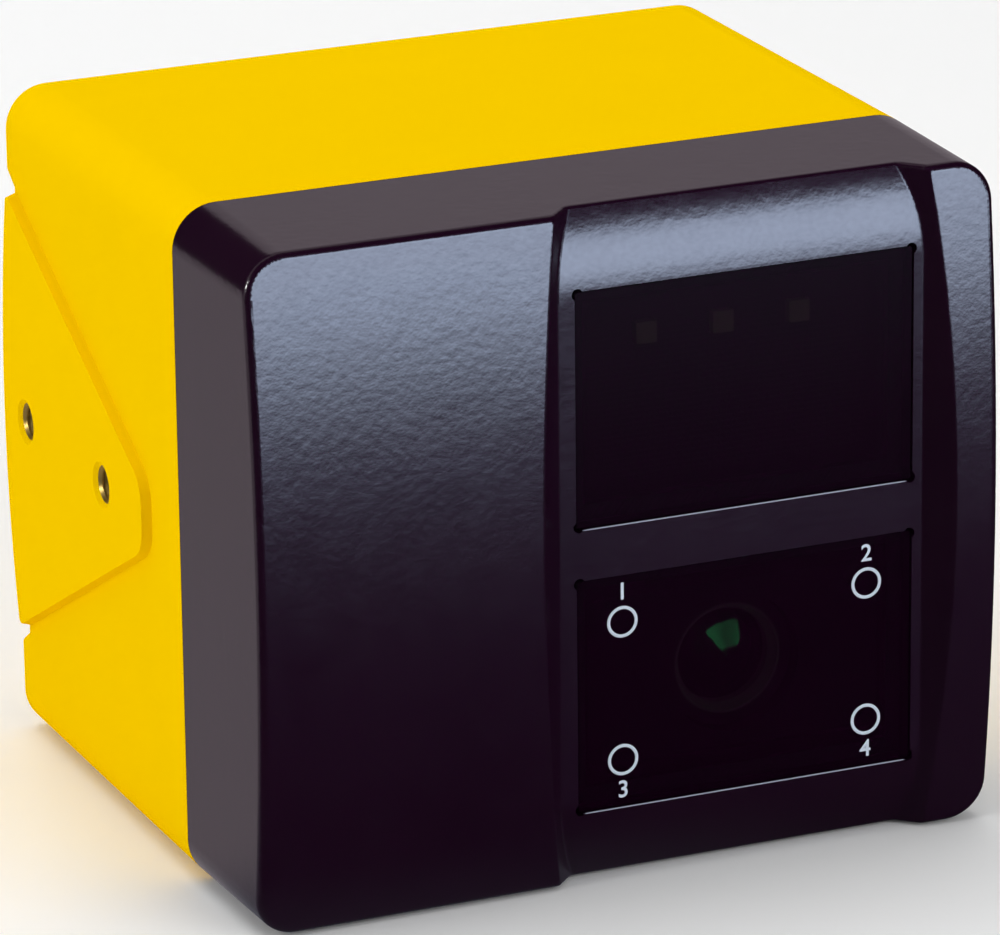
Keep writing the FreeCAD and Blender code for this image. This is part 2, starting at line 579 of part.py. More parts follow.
def add_front_cover():
    """Cast cover: drafted outline, domed front, sloped window bay, seats and posts."""
    body = new_body("front_cover")
    depth = d.joint_depth - front_end + d.overcut
    shell = rounded_rectangle(
        front_sketch(body, d.joint_depth), d.housing_width, d.housing_height, d.corner_radius)
    pad(body, shell, depth, forward=True, slope=-d.cover_draft)
    # front face, a shallow arch from base to top
    dome_radius = (half_height * half_height + d.front_dome * d.front_dome) / (2 * d.front_dome)
    lip = -d.front_lip
    outside = half_height + d.overcut
    before = front_end - 2 * d.overcut
    arch = outline(side_sketch(body, -half_width - d.overcut), [
        (lip, -half_height), (lip, -outside), (before, -outside),
        (before, outside), (lip, outside), (lip, half_height, dome_radius, 1)])
    domed = cut(body, arch, d.housing_width + 2 * d.overcut, forward=True)
    doc.recompute()
    rim = edges_where(domed, lambda p: p.y < float(lip) + 0.02)
    fillet(body, domed, rim, d.edge_round)

    # inner space, deeper beside the bay
    cavity = rounded_rectangle(
        front_sketch(body, d.joint_depth), cavity_width, cavity_height, d.cavity_corner)
    cut(body, cavity, d.joint_depth - d.front_wall, forward=True)
    relief_right = -bay_left - d.wall
    relief_width = relief_right + half_width - d.wall - d.relief_side
    relief_height = d.housing_height - 2 * d.relief_border
    relief = rounded_rectangle(
        front_sketch(body, d.front_wall), relief_width, relief_height, d.relief_corner,
        relief_right - relief_width / 2, 0)
    cut(body, relief, d.relief_depth, forward=True)

    # seat of the illumination board and the wall that shades the lens from it
    seat = front_sketch(body, emitter_board_y)
    rounded_rectangle(seat, emitter_board_width, emitter_board_height,
                      d.emitter_board_corner, window_x, emitter_z)
    pad(body, seat, d.emitter_frame + d.overcut, forward=True)
    shade = front_sketch(body, d.status_board_y)
    shade_right = half_width - d.wall + d.overcut
    shade_left = window_x - d.window_width / 2
    shade_top = emitter_z - emitter_board_height / 2 - d.mask_clearance
    shade_low = shade_top - d.board_thickness
    outline(shade, [(shade_left, shade_low), (shade_right, shade_low),
                    (shade_right, shade_top), (shade_left, shade_top)])
    pad(body, shade, d.status_board_y - d.front_wall + d.overcut, forward=True)

    # posts for the status and sensor boards
    posts = front_sketch(body, d.status_board_y, window_x, lens_z)
    four_circles(posts, d.sensor_post_radius, sensor_post_dx, sensor_post_dz)
    pad(body, posts, d.status_board_y - d.front_wall + d.overcut, forward=True)
    post_holes = front_sketch(body, d.status_board_y, window_x, lens_z)
    four_circles(post_holes, d.small_screw, sensor_post_dx, sensor_post_dz)
    cut(body, post_holes, d.status_board_y - d.front_wall, forward=True)
    seat_holes = front_sketch(body, emitter_board_y, window_x, emitter_z)
    four_circles(seat_holes, d.small_screw, emitter_screw_dx, emitter_screw_dz)
    cut(body, seat_holes, emitter_board_y - gasket_back - d.overcut / 2, forward=True)

    # window pockets with relieved corners, and the light openings behind them
    for z, opening_height in ((emitter_z, emitter_opening_height), (lens_z, lens_opening_height)):
        pocket_width = d.window_width + 2 * d.glass_clearance
        pocket_height = window_height + 2 * d.glass_clearance
        pocket = rectangle(front_sketch(body, gasket_back, window_x, z), pocket_width, pocket_height)
        cut(body, pocket, gasket_back - front_end + d.overcut, forward=True)
        ears = front_sketch(body, glass_back, window_x, z)
        ear_dx = pocket_width / 2 - d.corner_relief / 2
        ear_dz = pocket_height / 2 - d.corner_relief / 2
        four_circles(ears, d.corner_relief, ear_dx, ear_dz)
        cut(body, ears, glass_back - front_end + d.overcut, forward=True)
        opening = rounded_rectangle(
            front_sketch(body, emitter_board_y + d.overcut, window_x, z),
            opening_width, opening_height, d.corner_relief * 2)
        cut(body, opening, emitter_board_y + 2 * d.overcut, forward=True)

    # joint seal groove and the threads of the cover screws
    groove = front_sketch(body, d.joint_depth)
    draw_seal(groove)
    cut(body, groove, d.seal_depth, forward=True)
    threads = four_circles(front_sketch(body, d.joint_depth), d.cover_screw, screw_dx, screw_dz)
    cut(body, threads, d.cover_screw_bite + d.tip_clearance, forward=True)

    # window bay: sloped sides and a floor that falls away at the top and bottom
    bay = doc.addObject("PartDesign::Body", "bay_shape")
    reach = half_height + d.overcut
    rear = d.bay_recede + d.overcut
    front = front_end - d.overcut
    slopes = outline(plan_sketch(bay, -reach), [
        (front - bay_left, front), (bay_right - front, front),
        (bay_right - rear, rear), (rear - bay_left, rear)])
    pad(bay, slopes, 2 * reach, forward=True)
    flat = half_height - d.bay_border
    fall = half_height - flat
    fall_radius = (fall * fall + d.bay_recede * d.bay_recede) / (2 * d.bay_recede)
    behind = rear + d.overcut
    floor = outline(side_sketch(bay, -half_width), [
        (0, -flat), (0, flat, fall_radius, -1), (d.bay_recede, half_height),
        (d.bay_recede, outside + d.overcut), (behind, outside + d.overcut),
        (behind, -outside - d.overcut), (d.bay_recede, -outside - d.overcut),
        (d.bay_recede, -half_height, fall_radius, -1)])
    cut(bay, floor, d.housing_width, forward=True)
    doc.recompute()
    corners = edges_where(bay.Tip, bay_foot)
    fillet(bay, bay.Tip, corners, d.bay_round)
    doc.recompute()
    removal = body.newObject("PartDesign::Boolean", "Bay")
    removal.setObjects([bay])
    removal.Type = "Cut"
    doc.recompute()
    fillet(body, removal, edges_where(removal, bay_brow), d.brow_round)
    return body


def bay_brow(point):
    """Whether a point lies where a bay slope meets the front face."""
    on_left = abs(point.x - (point.y - float(bay_left))) < 0.001
    on_right = abs(point.x - (float(bay_right) - point.y)) < 0.001
    return (on_left or on_right) and point.y < -float(d.front_lip) + 0.3


def bay_foot(point):
    """Whether a point lies where a bay slope meets the bay floor."""
    on_left = abs(point.x - (point.y - float(bay_left))) < 0.001
    on_right = abs(point.x - (float(bay_right) - point.y)) < 0.001
    over_floor = -0.001 < point.y < float(d.bay_recede) + 0.001
    return (on_left or on_right) and over_floor


def draw_seal(sketch):
    for side in (1, -1):
        grow = side * d.seal_width
        rounded_rectangle(sketch, seal_path_width + grow, seal_path_height + grow,
                          d.seal_corner + grow / 2)
    return sketch


def add_rear_housing():
    """Cast housing: deep box with side pads, rear recess, bosses and screw channels."""
    body = new_body("rear_housing")
    depth = d.rear_depth - d.joint_depth
    shell = rounded_rectangle(
        front_sketch(body, d.joint_depth), d.housing_width, d.housing_height, d.corner_radius)
    solid = pad(body, shell, depth, forward=False)
    doc.recompute()
    rear_rim = edges_where(solid, lambda p: p.y > float(d.rear_depth) - 0.001)
    fillet(body, solid, rear_rim, d.rear_round)

    # recess across the rear with sloped edges
    mouth = channel_mouth / 2
    slope = (channel_mouth - channel_floor) / 2 / d.channel_depth
    past = d.rear_depth + d.overcut
    mouth_past = mouth + slope * d.overcut
    middle = d.channel_rise
    channel = outline(side_sketch(body, -half_width - d.overcut), [
        (channel_y, middle - channel_floor / 2), (past, middle - mouth_past),
        (past, middle + mouth_past), (channel_y, middle + channel_floor / 2)])
    channel_cut = cut(body, channel, d.housing_width + 2 * d.overcut, forward=True)
    doc.recompute()
    lips = edges_where(channel_cut, on_channel_lip)
    fillet(body, channel_cut, lips, d.rear_round / 2)

    # side pads, drawn on the right and repeated on the left
    raised = pad(body, draw_pad(side_sketch(body, half_width)), d.pad_height,
                 forward=True, slope=-d.pad_slope)
    root = pad(body, draw_pad(side_sketch(body, half_width - d.pad_root)), d.pad_root, forward=True)
    mirror(body, "YZ_Plane", [raised, root])

    # inner space
    cavity = rounded_rectangle(
        front_sketch(body, d.joint_depth), cavity_width, cavity_height, d.cavity_corner)
    cut(body, cavity, rear_inner - d.joint_depth, forward=False)

    # bosses for the mounting threads, then the threads' core holes
    boss_depth = d.mount_depth + d.mount_floor
    bosses = side_sketch(body, pad_face - boss_depth)
    for y in (d.mount_rear, mount_front):
        circle(bosses, d.mount_boss, y, d.pad_rise)
    boss = pad(body, bosses, boss_depth - d.pad_height - d.wall / 2, forward=True)
    mirror(body, "YZ_Plane", [boss])
    holes = side_sketch(body, pad_face)
    for y in (d.mount_rear, mount_front):
        circle(holes, d.mount_radius, y, d.pad_rise)
    drilled = cut(body, holes, d.mount_depth, forward=False)
    both_sides = mirror(body, "YZ_Plane", [drilled])
    sink = body.newObject("PartDesign::Chamfer", "Chamfer")
    sink.Base = (both_sides, edges_where(both_sides, on_mount_mouth))
    bind(sink, "Size", d.mount_sink)

    # bosses that carry the boards
    pillars = four_circles(front_sketch(body, interface_back), d.pillar_boss, pillar_dx, pillar_dz)
    pad(body, pillars, rear_inner - interface_back + d.overcut, forward=False)
    studs = four_circles(front_sketch(body, interface_back), d.pillar_screw, pillar_dx, pillar_dz)
    cut(body, studs, d.pillar_stud + d.tip_clearance, forward=False)

    # channels and head pockets of the cover screws
    shanks = four_circles(front_sketch(body, d.joint_depth), d.cover_screw + d.screw_clearance,
                          screw_dx, screw_dz)
    cut(body, shanks, depth, forward=False)
    heads = four_circles(front_sketch(body, d.rear_depth), d.counterbore, screw_dx, screw_dz)
    cut(body, heads, d.counterbore_depth, forward=True)

    # holes of the connectors and of the vent
    necks = front_sketch(body, channel_y)
    for x in (-connector_x, connector_x):
        circle(necks, d.neck_radius + d.neck_clearance, x, 0)
    circle(necks, d.vent_stem + d.neck_clearance, 0, -d.vent_drop)
    cut(body, necks, d.rear_wall + d.overcut, forward=True)
    return body


def draw_pad(sketch):
    """Outline of a side pad: narrow rounded front, sloping edges and a bulged rear."""
    front_half = d.pad_front_half
    rear_half = half_height - d.pad_border
    share = (rear_half - front_half) / (d.pad_rear - d.pad_front)
    slant = root(1 + share * share)
    # front corner: the arc touches the front edge and the sloping edge
    reach = d.pad_corner * (slant - share)
    front_y = d.pad_front + reach / slant
    front_z = front_half + reach * share / slant
    # rear: a wide arc between two small corner arcs
    rear_radius = (rear_half * rear_half + d.pad_bulge * d.pad_bulge) / (2 * d.pad_bulge)
    step = 1.25 * d.pad_rear_corner
    side_y = d.pad_rear - step / slant
    side_z = rear_half - step * share / slant
    arc_z = rear_half - step
    arc_y = d.pad_rear + d.pad_bulge - rear_radius + root(rear_radius * rear_radius - arc_z * arc_z)
    middle = d.pad_rise
    return outline(sketch, [
        (front_y, middle - front_z), (side_y, middle - side_z, d.pad_rear_corner, 1),
        (arc_y, middle - arc_z, rear_radius, 1), (arc_y, middle + arc_z, d.pad_rear_corner, 1),
        (side_y, middle + side_z), (front_y, middle + front_z, d.pad_corner, 1),
        (d.pad_front, middle + front_half - reach),
        (d.pad_front, middle - front_half + reach, d.pad_corner, 1)])


def on_channel_lip(point):
    """Whether a point lies where the rear recess meets the rear face."""
    from_middle = abs(point.z - float(d.channel_rise))
    return point.y > float(d.rear_depth) - 0.001 and abs(from_middle - float(channel_mouth) / 2) < 0.001


def on_mount_mouth(point):
    """Whether a point lies on the mouth of a mounting hole."""
    return (abs(abs(point.x) - float(pad_face)) < 0.001
            and min(math.hypot(point.y - float(y), point.z - float(d.pad_rise))
                    for y in (d.mount_rear, mount_front)) < float(d.mount_radius) + 0.01)


def add_joint_seal():
    return plate("joint_seal", d.joint_depth - d.seal_depth, d.seal_depth, draw_seal)


def add_windows():
    """Two glued windows, each on its own adhesive gasket."""
    for label, z in (("illumination_window", emitter_z), ("lens_window", lens_z)):
        plate(label, d.glass_recess, d.glass_thickness,
              lambda sketch: rectangle(sketch, d.window_width, window_height), window_x, z)

        def frame(sketch):
            rectangle(sketch, d.window_width, window_height)
            return rectangle(sketch, d.window_width - 2 * d.gasket_width,
                             window_height - 2 * d.gasket_width)

        plate(f"{label}_gasket", glass_back, d.gasket_thickness, frame, window_x, z)


def add_illumination_unit():
    """Board with three infrared emitters, heat spreader, plug and screws."""
    def board(sketch):
        rounded_rectangle(sketch, emitter_board_width, emitter_board_height, d.emitter_board_corner)
        return four_circles(sketch, d.small_screw + d.screw_clearance,
                            emitter_screw_dx, emitter_screw_dz)

    plate("illumination_board", emitter_board_y, d.board_thickness, board, window_x, emitter_z)

    emitters = new_body("infrared_emitters", window_x, emitter_z)
    for place in (-1, 0, 1):
        sketch = rectangle(front_sketch(emitters, emitter_board_y), d.emitter_size, d.emitter_size,
                           place * d.emitter_pitch, d.emitter_rise)
        pad(emitters, sketch, d.emitter_height, forward=True)

    spreader = new_body("heat_spreader", window_x, emitter_z)
    width = emitter_board_width - 2 * d.spreader_margin
    height = emitter_board_height - 2 * d.spreader_margin
    sketch = front_sketch(spreader, spreader_y)
    rounded_rectangle(sketch, width, height, d.emitter_board_corner)
    four_circles(sketch, d.small_screw + d.screw_clearance, emitter_screw_dx, emitter_screw_dz)
    pad(spreader, sketch, d.spreader_thickness, forward=False)
    slot_depth = d.flat_plug_length + d.spreader_margin + d.overcut
    slot = outline(front_sketch(spreader, spreader_y), [
        (-width / 2 - d.overcut, -d.spreader_slot / 2),
        (-width / 2 - d.overcut + slot_depth, -d.spreader_slot / 2),
        (-width / 2 - d.overcut + slot_depth, d.spreader_slot / 2),
        (-width / 2 - d.overcut, d.spreader_slot / 2)])
    cut(spreader, slot, d.spreader_thickness, forward=False)

    length = spreader_back - gasket_back - d.overcut - d.tip_clearance / 2
    add_screws("illumination_screws", window_x, emitter_z, emitter_screw_dx, emitter_screw_dz,
               spreader_back, length, d.small_screw, d.small_head, d.small_head_height)


def add_screws(label, x, z, dx, dz, seat, length, radius, head, head_height):
    """Four screws driven from the rear, with heads on a seat at the given depth."""
    body = new_body(label, x, z)
    shank = radius - d.thread_clearance
    revolve(body, [(0, seat - length), (shank, seat - length), (shank, seat),
                   (head, seat), (head, seat + head_height), (0, seat + head_height)], dx, dz)
    mirror_to_four(body)
    return body


def add_optics():
    """Lens barrel with its lenses, holder, filter, sensor board and image sensor."""
    barrel = new_body("lens_barrel", window_x, lens_z)
    bezel_back = d.barrel_front + d.bezel_length
    seat_front = d.barrel_front + d.overcut
    seat_back = bezel_back + d.overcut / 2
    stop_back = seat_back + d.stop_thickness
    seat = d.front_lens_radius + d.lens_clearance
    bore = d.inner_lens_radius + d.lens_clearance
    revolve(barrel, [
        (seat + d.corner_relief, d.barrel_front), (d.bezel_radius, d.barrel_front),
        (d.bezel_radius, bezel_back), (d.barrel_radius, bezel_back),
        (d.barrel_radius, d.barrel_end), (bore, d.barrel_end), (bore, stop_back),
        (d.stop_radius, stop_back), (d.stop_radius, seat_back),
        (seat, seat_back), (seat, seat_front)])

    front = new_body("front_lens", window_x, lens_z)
    rise = d.barrel_front / 4
    radius = d.front_lens_radius
    sphere = (radius * radius + rise * rise) / (2 * rise)
    edge_front = seat_front + d.overcut
    revolve(front, [(0, edge_front - rise), (0, seat_back), (radius, seat_back),
                    (radius, edge_front, sphere, -1)])

    middle_end = stop_back + d.middle_lens_thickness
    rear_start = middle_end + d.lens_space
    rear_end = rear_start + d.rear_lens_thickness
    add_inner_lens("middle_lens", stop_back, middle_end)
    add_inner_lens("rear_lens", rear_start, rear_end)
    spacer = new_body("lens_spacer", window_x, lens_z)
    revolve(spacer, [(d.stop_radius, middle_end), (d.inner_lens_radius, middle_end),
                     (d.inner_lens_radius, rear_start), (d.stop_radius, rear_start)])
    ring = new_body("lens_retaining_ring", window_x, lens_z)
    revolve(ring, [(d.stop_radius, rear_end), (d.inner_lens_radius, rear_end),
                   (d.inner_lens_radius, d.barrel_end), (d.stop_radius, d.barrel_end)])

    holder = new_body("lens_holder", window_x, lens_z)
    base_y = d.sensor_board_y - d.holder_base_thickness
    base = rounded_rectangle(front_sketch(holder, base_y), d.holder_base, d.holder_base, d.corner_relief)
    pad(holder, base, d.holder_base_thickness, forward=False)
    tube = circle(front_sketch(holder, base_y), d.holder_radius)
    pad(holder, tube, base_y - d.holder_front, forward=True)
    thread = circle(front_sketch(holder, d.holder_front), d.barrel_radius + d.thread_clearance)
    cut(holder, thread, d.barrel_end - d.holder_front + d.mask_clearance, forward=False)
    web_y = d.barrel_end + d.mask_clearance + d.holder_web
    light = rectangle(front_sketch(holder, d.barrel_end), d.filter_size - 2, d.filter_size - 2)
    cut(holder, light, d.sensor_board_y - d.barrel_end, forward=False)
    pocket = rectangle(front_sketch(holder, web_y), d.sensor_pocket, d.sensor_pocket)
    cut(holder, pocket, d.sensor_board_y - web_y, forward=False)

    plate("bandpass_filter", web_y, d.filter_thickness,
          lambda sketch: rectangle(sketch, d.filter_size, d.filter_size), window_x, lens_z)
    plate("image_sensor", d.sensor_board_y - d.sensor_height, d.sensor_height,
          lambda sketch: rectangle(sketch, d.sensor_size, d.sensor_size), window_x, lens_z)

    def board(sketch):
        rounded_rectangle(sketch, sensor_board_width, sensor_board_height, d.sensor_board_corner)
        return four_circles(sketch, d.small_screw + d.screw_clearance, sensor_post_dx, sensor_post_dz)

    plate("sensor_board", d.sensor_board_y, d.board_thickness, board, window_x, lens_z)


def add_inner_lens(label, start, end):
    """A lens with both faces bulged inside its flat rim."""
    body = new_body(label, window_x, lens_z)
    rim = d.inner_lens_radius
    bulge = d.stop_radius - d.lens_clearance
    sag = d.lens_bulge
    sphere = (bulge * bulge + sag * sag) / (2 * sag)
    revolve(body, [
        (0, start - sag, sphere, 1), (bulge, start), (rim, start), (rim, end),
        (bulge, end, sphere, 1), (0, end + sag)])
    return body


def add_status_lights():
    """Status board with four lights, light guides, lens mask, sleeves and screws."""
    def board(sketch):
        rounded_rectangle(sketch, sensor_board_width, sensor_board_height, d.sensor_board_corner)
        circle(sketch, d.holder_radius + d.thread_clearance * 4)
        return four_circles(sketch, d.small_screw + d.screw_clearance, sensor_post_dx, sensor_post_dz)

    plate("status_board", d.status_board_y, d.board_thickness, board, window_x, lens_z)

    lights = new_body("status_lights", window_x, lens_z)
    sketch = rectangle(front_sketch(lights, d.status_board_y), d.status_light_size, d.status_light_size,
                       light_dx, light_dz)
    pad(lights, sketch, d.status_light_height, forward=True)
    mirror_to_four(lights)

    mask_back = d.front_wall + d.mask_flange
    guides = new_body("light_guides", window_x, lens_z)
    guide_end = d.status_board_y - d.status_light_height - d.light_gap
    collar_back = mask_back + d.overcut
    revolve(guides, [(0, d.mask_front), (d.light_radius, d.mask_front), (d.light_radius, mask_back),
                     (d.light_collar, mask_back), (d.light_collar, collar_back),
                     (d.light_radius, collar_back), (d.light_radius, guide_end), (0, guide_end)],
            light_dx, light_dz)
    mirror_to_four(guides)

    mask = new_body("lens_mask", window_x, lens_z)
    width = opening_width - 2 * d.mask_clearance
    height = lens_opening_height - 2 * d.mask_clearance
    front = rounded_rectangle(front_sketch(mask, d.mask_front), width, height, d.corner_relief * 2)
    pad(mask, front, mask_back - d.mask_front, forward=False)
    flange_width = d.window_width + 2 * d.mask_overlap
    flange = rectangle(front_sketch(mask, d.front_wall), flange_width, height - d.corner_relief * 4)
    pad(mask, flange, d.mask_flange, forward=False)
    around = circle(front_sketch(mask, d.mask_front), d.bezel_radius + d.mask_clearance)
    cut(mask, around, mask_back - d.mask_front, forward=False)
    ways = four_circles(front_sketch(mask, d.mask_front), d.light_radius + d.thread_clearance,
                        light_dx, light_dz)
    cut(mask, ways, mask_back - d.mask_front, forward=False)

    sleeves = new_body("sensor_sleeves", window_x, lens_z)
    inner = d.small_screw + d.thread_clearance
    revolve(sleeves, [(inner, status_back), (d.sensor_post_radius, status_back),
                      (d.sensor_post_radius, d.sensor_board_y), (inner, d.sensor_board_y)],
            sensor_post_dx, sensor_post_dz)
    mirror_to_four(sleeves)
    length = sensor_back - d.front_wall - d.tip_clearance
    add_screws("sensor_screws", window_x, lens_z, sensor_post_dx, sensor_post_dz,
               sensor_back, length, d.small_screw, d.small_head, d.small_head_height)


def draw_main_board(sketch):
    rounded_rectangle(sketch, main_width, main_height, main_corner)
    return four_circles(sketch, d.pillar_screw + d.screw_clearance, pillar_dx, pillar_dz)


def add_electronics():
    """Main and interface boards, processors with their heat path, board plugs and pillars."""
    plate("main_board", d.main_board_y, d.board_thickness, draw_main_board)
    plate("interface_board", d.interface_board_y, d.board_thickness, draw_main_board)

    for label, y, thickness in (("safety_processors", main_back, d.chip_height),
                                ("heat_pads", main_back + d.chip_height, d.heat_pad_thickness)):
        pair = new_body(label)
        sketch = rectangle(front_sketch(pair, y), d.chip_size, d.chip_size, d.chip_pitch / 2, d.chip_rise)
        pad(pair, sketch, thickness, forward=False)
        mirror(pair, "YZ_Plane")

    bridge = new_body("heat_bridge")
    top = half_height - d.wall - d.bridge_clearance
    low = -d.bridge_low
    foot_end = bridge_y + d.bridge_foot
    angle = outline(side_sketch(bridge, -bridge_width / 2), [
        (bridge_y, low), (bridge_back, low), (bridge_back, top - d.bridge_thickness),
        (foot_end, top - d.bridge_thickness), (foot_end, top), (bridge_y, top)])
    pad(bridge, angle, bridge_width, forward=True)
    corner = main_corner
    side = bridge_width / 2
    trim = outline(front_sketch(bridge, bridge_y - d.overcut), [
        (side - corner, top + d.overcut), (side + d.overcut, top + d.overcut),
        (side + d.overcut, top - corner)])
    trimmed = cut(bridge, trim, d.bridge_foot + 2 * d.overcut, forward=False)
    mirror(bridge, "YZ_Plane", [trimmed])
    collar = circle(front_sketch(bridge, main_back), d.bridge_collar, pillar_dx, pillar_dz)
    raised = pad(bridge, collar, bridge_back - main_back, forward=False)
    mirror(bridge, "YZ_Plane", [raised])
    hole = circle(front_sketch(bridge, main_back), d.pillar_screw + d.screw_clearance,
                  pillar_dx, pillar_dz)
    bored = cut(bridge, hole, bridge_back - main_back, forward=False)
    mirror(bridge, "YZ_Plane", [bored])

    for label, z, start in (("upper_board_pillars", pillar_dz, bridge_back),
                            ("lower_board_pillars", -pillar_dz, main_back)):
        pillars = new_body(label)
        spacer = hexagon(front_sketch(pillars, start, pillar_dx, z), d.pillar_flat)
        pad(pillars, spacer, d.interface_board_y - start, forward=False)
        tapped = circle(front_sketch(pillars, start, pillar_dx, z), d.pillar_screw)
        cut(pillars, tapped, d.pillar_stud + d.tip_clearance, forward=False)
        stud = circle(front_sketch(pillars, d.interface_board_y, pillar_dx, z),
                      d.pillar_screw - d.thread_clearance)
        pad(pillars, stud, d.board_thickness + d.pillar_stud, forward=False)
        mirror(pillars, "YZ_Plane")

    screws = new_body("main_board_screws")
    shank = d.pillar_screw - d.thread_clearance
    head = d.pillar_boss - d.pillar_screw / 2
    head_front = d.main_board_y - d.chip_height
    for z, end in ((pillar_dz, bridge_back + d.pillar_stud), (-pillar_dz, main_back + d.pillar_stud)):
        revolve(screws, [(0, head_front), (head, head_front), (head, d.main_board_y),
                         (shank, d.main_board_y), (shank, end), (0, end)], pillar_dx, z)
    mirror(screws, "YZ_Plane")

    header_split = (main_back + d.interface_board_y) / 2
    for label, start, end in (("stacking_socket", main_back, header_split),
                              ("stacking_header", header_split, d.interface_board_y)):
        plate(label, start, end - start,
              lambda sketch: rectangle(sketch, d.header_length, d.header_width), 0, -d.header_drop)

    plug_z = lens_z + sensor_board_height / 2 - d.plug_drop - d.plug_width / 2
    plug_split = (sensor_back + d.main_board_y) / 2
    for label, start, end in (("sensor_plug", sensor_back, plug_split),
                              ("sensor_socket", plug_split, d.main_board_y)):
        plate(label, start, end - start,
              lambda sketch: rectangle(sketch, d.plug_length, d.plug_width), window_x, plug_z)

    capacitors = new_body("filter_capacitors", -connector_x, -d.capacitor_drop)
    for place in (-1, 0, 1):
        can = circle(front_sketch(capacitors, d.interface_board_y), d.capacitor_radius,
                     place * d.capacitor_pitch, 0)
        pad(capacitors, can, d.capacitor_length, forward=True)
    plate("power_coil", d.interface_board_y - d.coil_height, d.coil_height,
          lambda sketch: rounded_rectangle(sketch, d.coil_side, d.coil_side, d.corner_relief * 2),
          connector_x, -d.capacitor_drop)


def add_flat_cable():
    """Flat cable from the illumination board back to the main board, with both plugs."""
    plug_x = window_x - emitter_board_width / 2 + d.flat_plug_length / 2
    front_end_y = spreader_y + d.flat_plug_height
    rear_start_y = d.main_board_y - d.flat_plug_height

    def plug(sketch):
        return rectangle(sketch, d.flat_plug_length, d.flat_plug_width)

    plate("illumination_plug", spreader_y, d.flat_plug_height, plug, plug_x, emitter_z)
    plate("illumination_socket", rear_start_y, d.flat_plug_height, plug, plug_x, emitter_z)
    cable = new_body("flat_cable", plug_x, emitter_z)
    strip = rectangle(front_sketch(cable, front_end_y), d.flat_cable_thickness, d.flat_cable_width)
    pad(cable, strip, rear_start_y - front_end_y, forward=False)


def add_connectors():
    """Power and network connectors with inserts, contacts, nuts and sealing rings."""
    flange_back = channel_y + d.flange_thickness
    neck_front = rear_inner - d.neck_end
    insert_face = camera_end - d.socket_depth
    tail_end = interface_back
    hole = d.neck_radius + d.neck_clearance
    ring_groove = 2 * d.ring_section

    power = new_body("power_connector", -connector_x, 0)
    revolve(power, [
        (d.power_bore, neck_front), (d.neck_radius, neck_front), (d.neck_radius, channel_y),
        (d.flange_radius, channel_y), (d.flange_radius, flange_back),
        (d.coupling_radius, flange_back), (d.coupling_radius, camera_end),
        (d.power_bore, camera_end)])
    cut_ring_groove(power, ring_groove)

    insert = new_body("power_insert", -connector_x, 0)
    revolve(insert, [(0, neck_front), (d.power_bore, neck_front), (d.power_bore, insert_face),
                     (0, insert_face)])
    drill = front_sketch(insert, insert_face)
    draw_power_circles(drill, d.power_pin)
    cut(insert, drill, insert_face - neck_front, forward=True)

    pins = new_body("power_pins", -connector_x, 0)
    for radius, count in ((d.power_circle, 11), (d.power_inner_circle, 5)):
        pin = revolve(pins, pin_profile(d.power_pin, tail_end, insert_face + d.power_pin_length),
                      radius, 0)
        ring_of(pins, pin, count)
    revolve(pins, pin_profile(d.power_pin, tail_end, insert_face + d.power_pin_length))

    network_end = channel_y + d.network_reach
    network_face = network_end - d.network_insert_drop
    network_floor = flange_back - d.overcut
    network = new_body("network_connector", connector_x, 0)
    sleeve = d.contact_circle + 2 * d.contact_radius + d.thread_clearance
    revolve(network, [
        (sleeve, neck_front), (d.neck_radius, neck_front), (d.neck_radius, channel_y),
        (d.flange_radius, channel_y), (d.flange_radius, flange_back),
        (d.network_rim, flange_back), (d.network_rim, network_end),
        (d.network_bore, network_end), (d.network_bore, network_floor), (sleeve, network_floor)])
    cut_ring_groove(network, ring_groove)

    core = new_body("network_insert", connector_x, 0)
    revolve(core, [(0, neck_front), (sleeve, neck_front), (sleeve, network_face), (0, network_face)])
    for wide, tall in ((d.shield_width, 2 * sleeve), (2 * sleeve, d.shield_width)):
        slot = rectangle(front_sketch(core, network_face), wide, tall)
        cut(core, slot, d.shield_depth, forward=True)
    wells = front_sketch(core, network_face)
    draw_contact_circles(wells, d.contact_radius)
    cut(core, wells, network_face - neck_front, forward=True)

    contacts = new_body("network_contacts", connector_x, 0)
    draw = front_sketch(contacts, network_face - d.contact_drop)
    draw_contact_circles(draw, d.contact_radius)
    pad(contacts, draw, network_face - d.contact_drop - tail_end, forward=True)

    for label, x in (("power_connector_nut", -connector_x), ("network_connector_nut", connector_x)):
        nut = new_body(label, x, 0)
        sketch = hexagon(front_sketch(nut, rear_inner - d.nut_thickness), d.nut_flat)
        circle(sketch, hole)
        pad(nut, sketch, d.nut_thickness, forward=False)

    rings = new_body("connector_sealing_rings")
    for x in (-connector_x, connector_x):
        revolve(rings, ring_profile(ring_groove), x, 0)

    vent = new_body("pressure_vent", 0, -d.vent_drop)
    cap_back = channel_y + d.vent_height
    revolve(vent, [(0, rear_inner), (d.vent_stem, rear_inner), (d.vent_stem, channel_y),
                   (d.vent_radius, channel_y), (d.vent_radius, cap_back - d.vent_height / 3),
                   (d.vent_radius - d.vent_height / 3, cap_back), (0, cap_back)])


def ring_profile(height):
    """Section of a connector's sealing ring, squeezed flat against the recess floor."""
    inner = d.ring_radius - d.ring_section
    outer = d.ring_radius + d.ring_section
    return [(inner, channel_y), (outer, channel_y), (outer, channel_y + height), (inner, channel_y + height)]


def cut_ring_groove(body, height):
    """Groove for the sealing ring in the front of a connector's flange."""
    revolve(body, ring_profile(height), remove=True)


def pin_profile(radius, start, end):
    """A pin with a tapered tip."""
    return [(0, start), (radius, start), (radius, end - radius), (radius / 2, end), (0, end)]


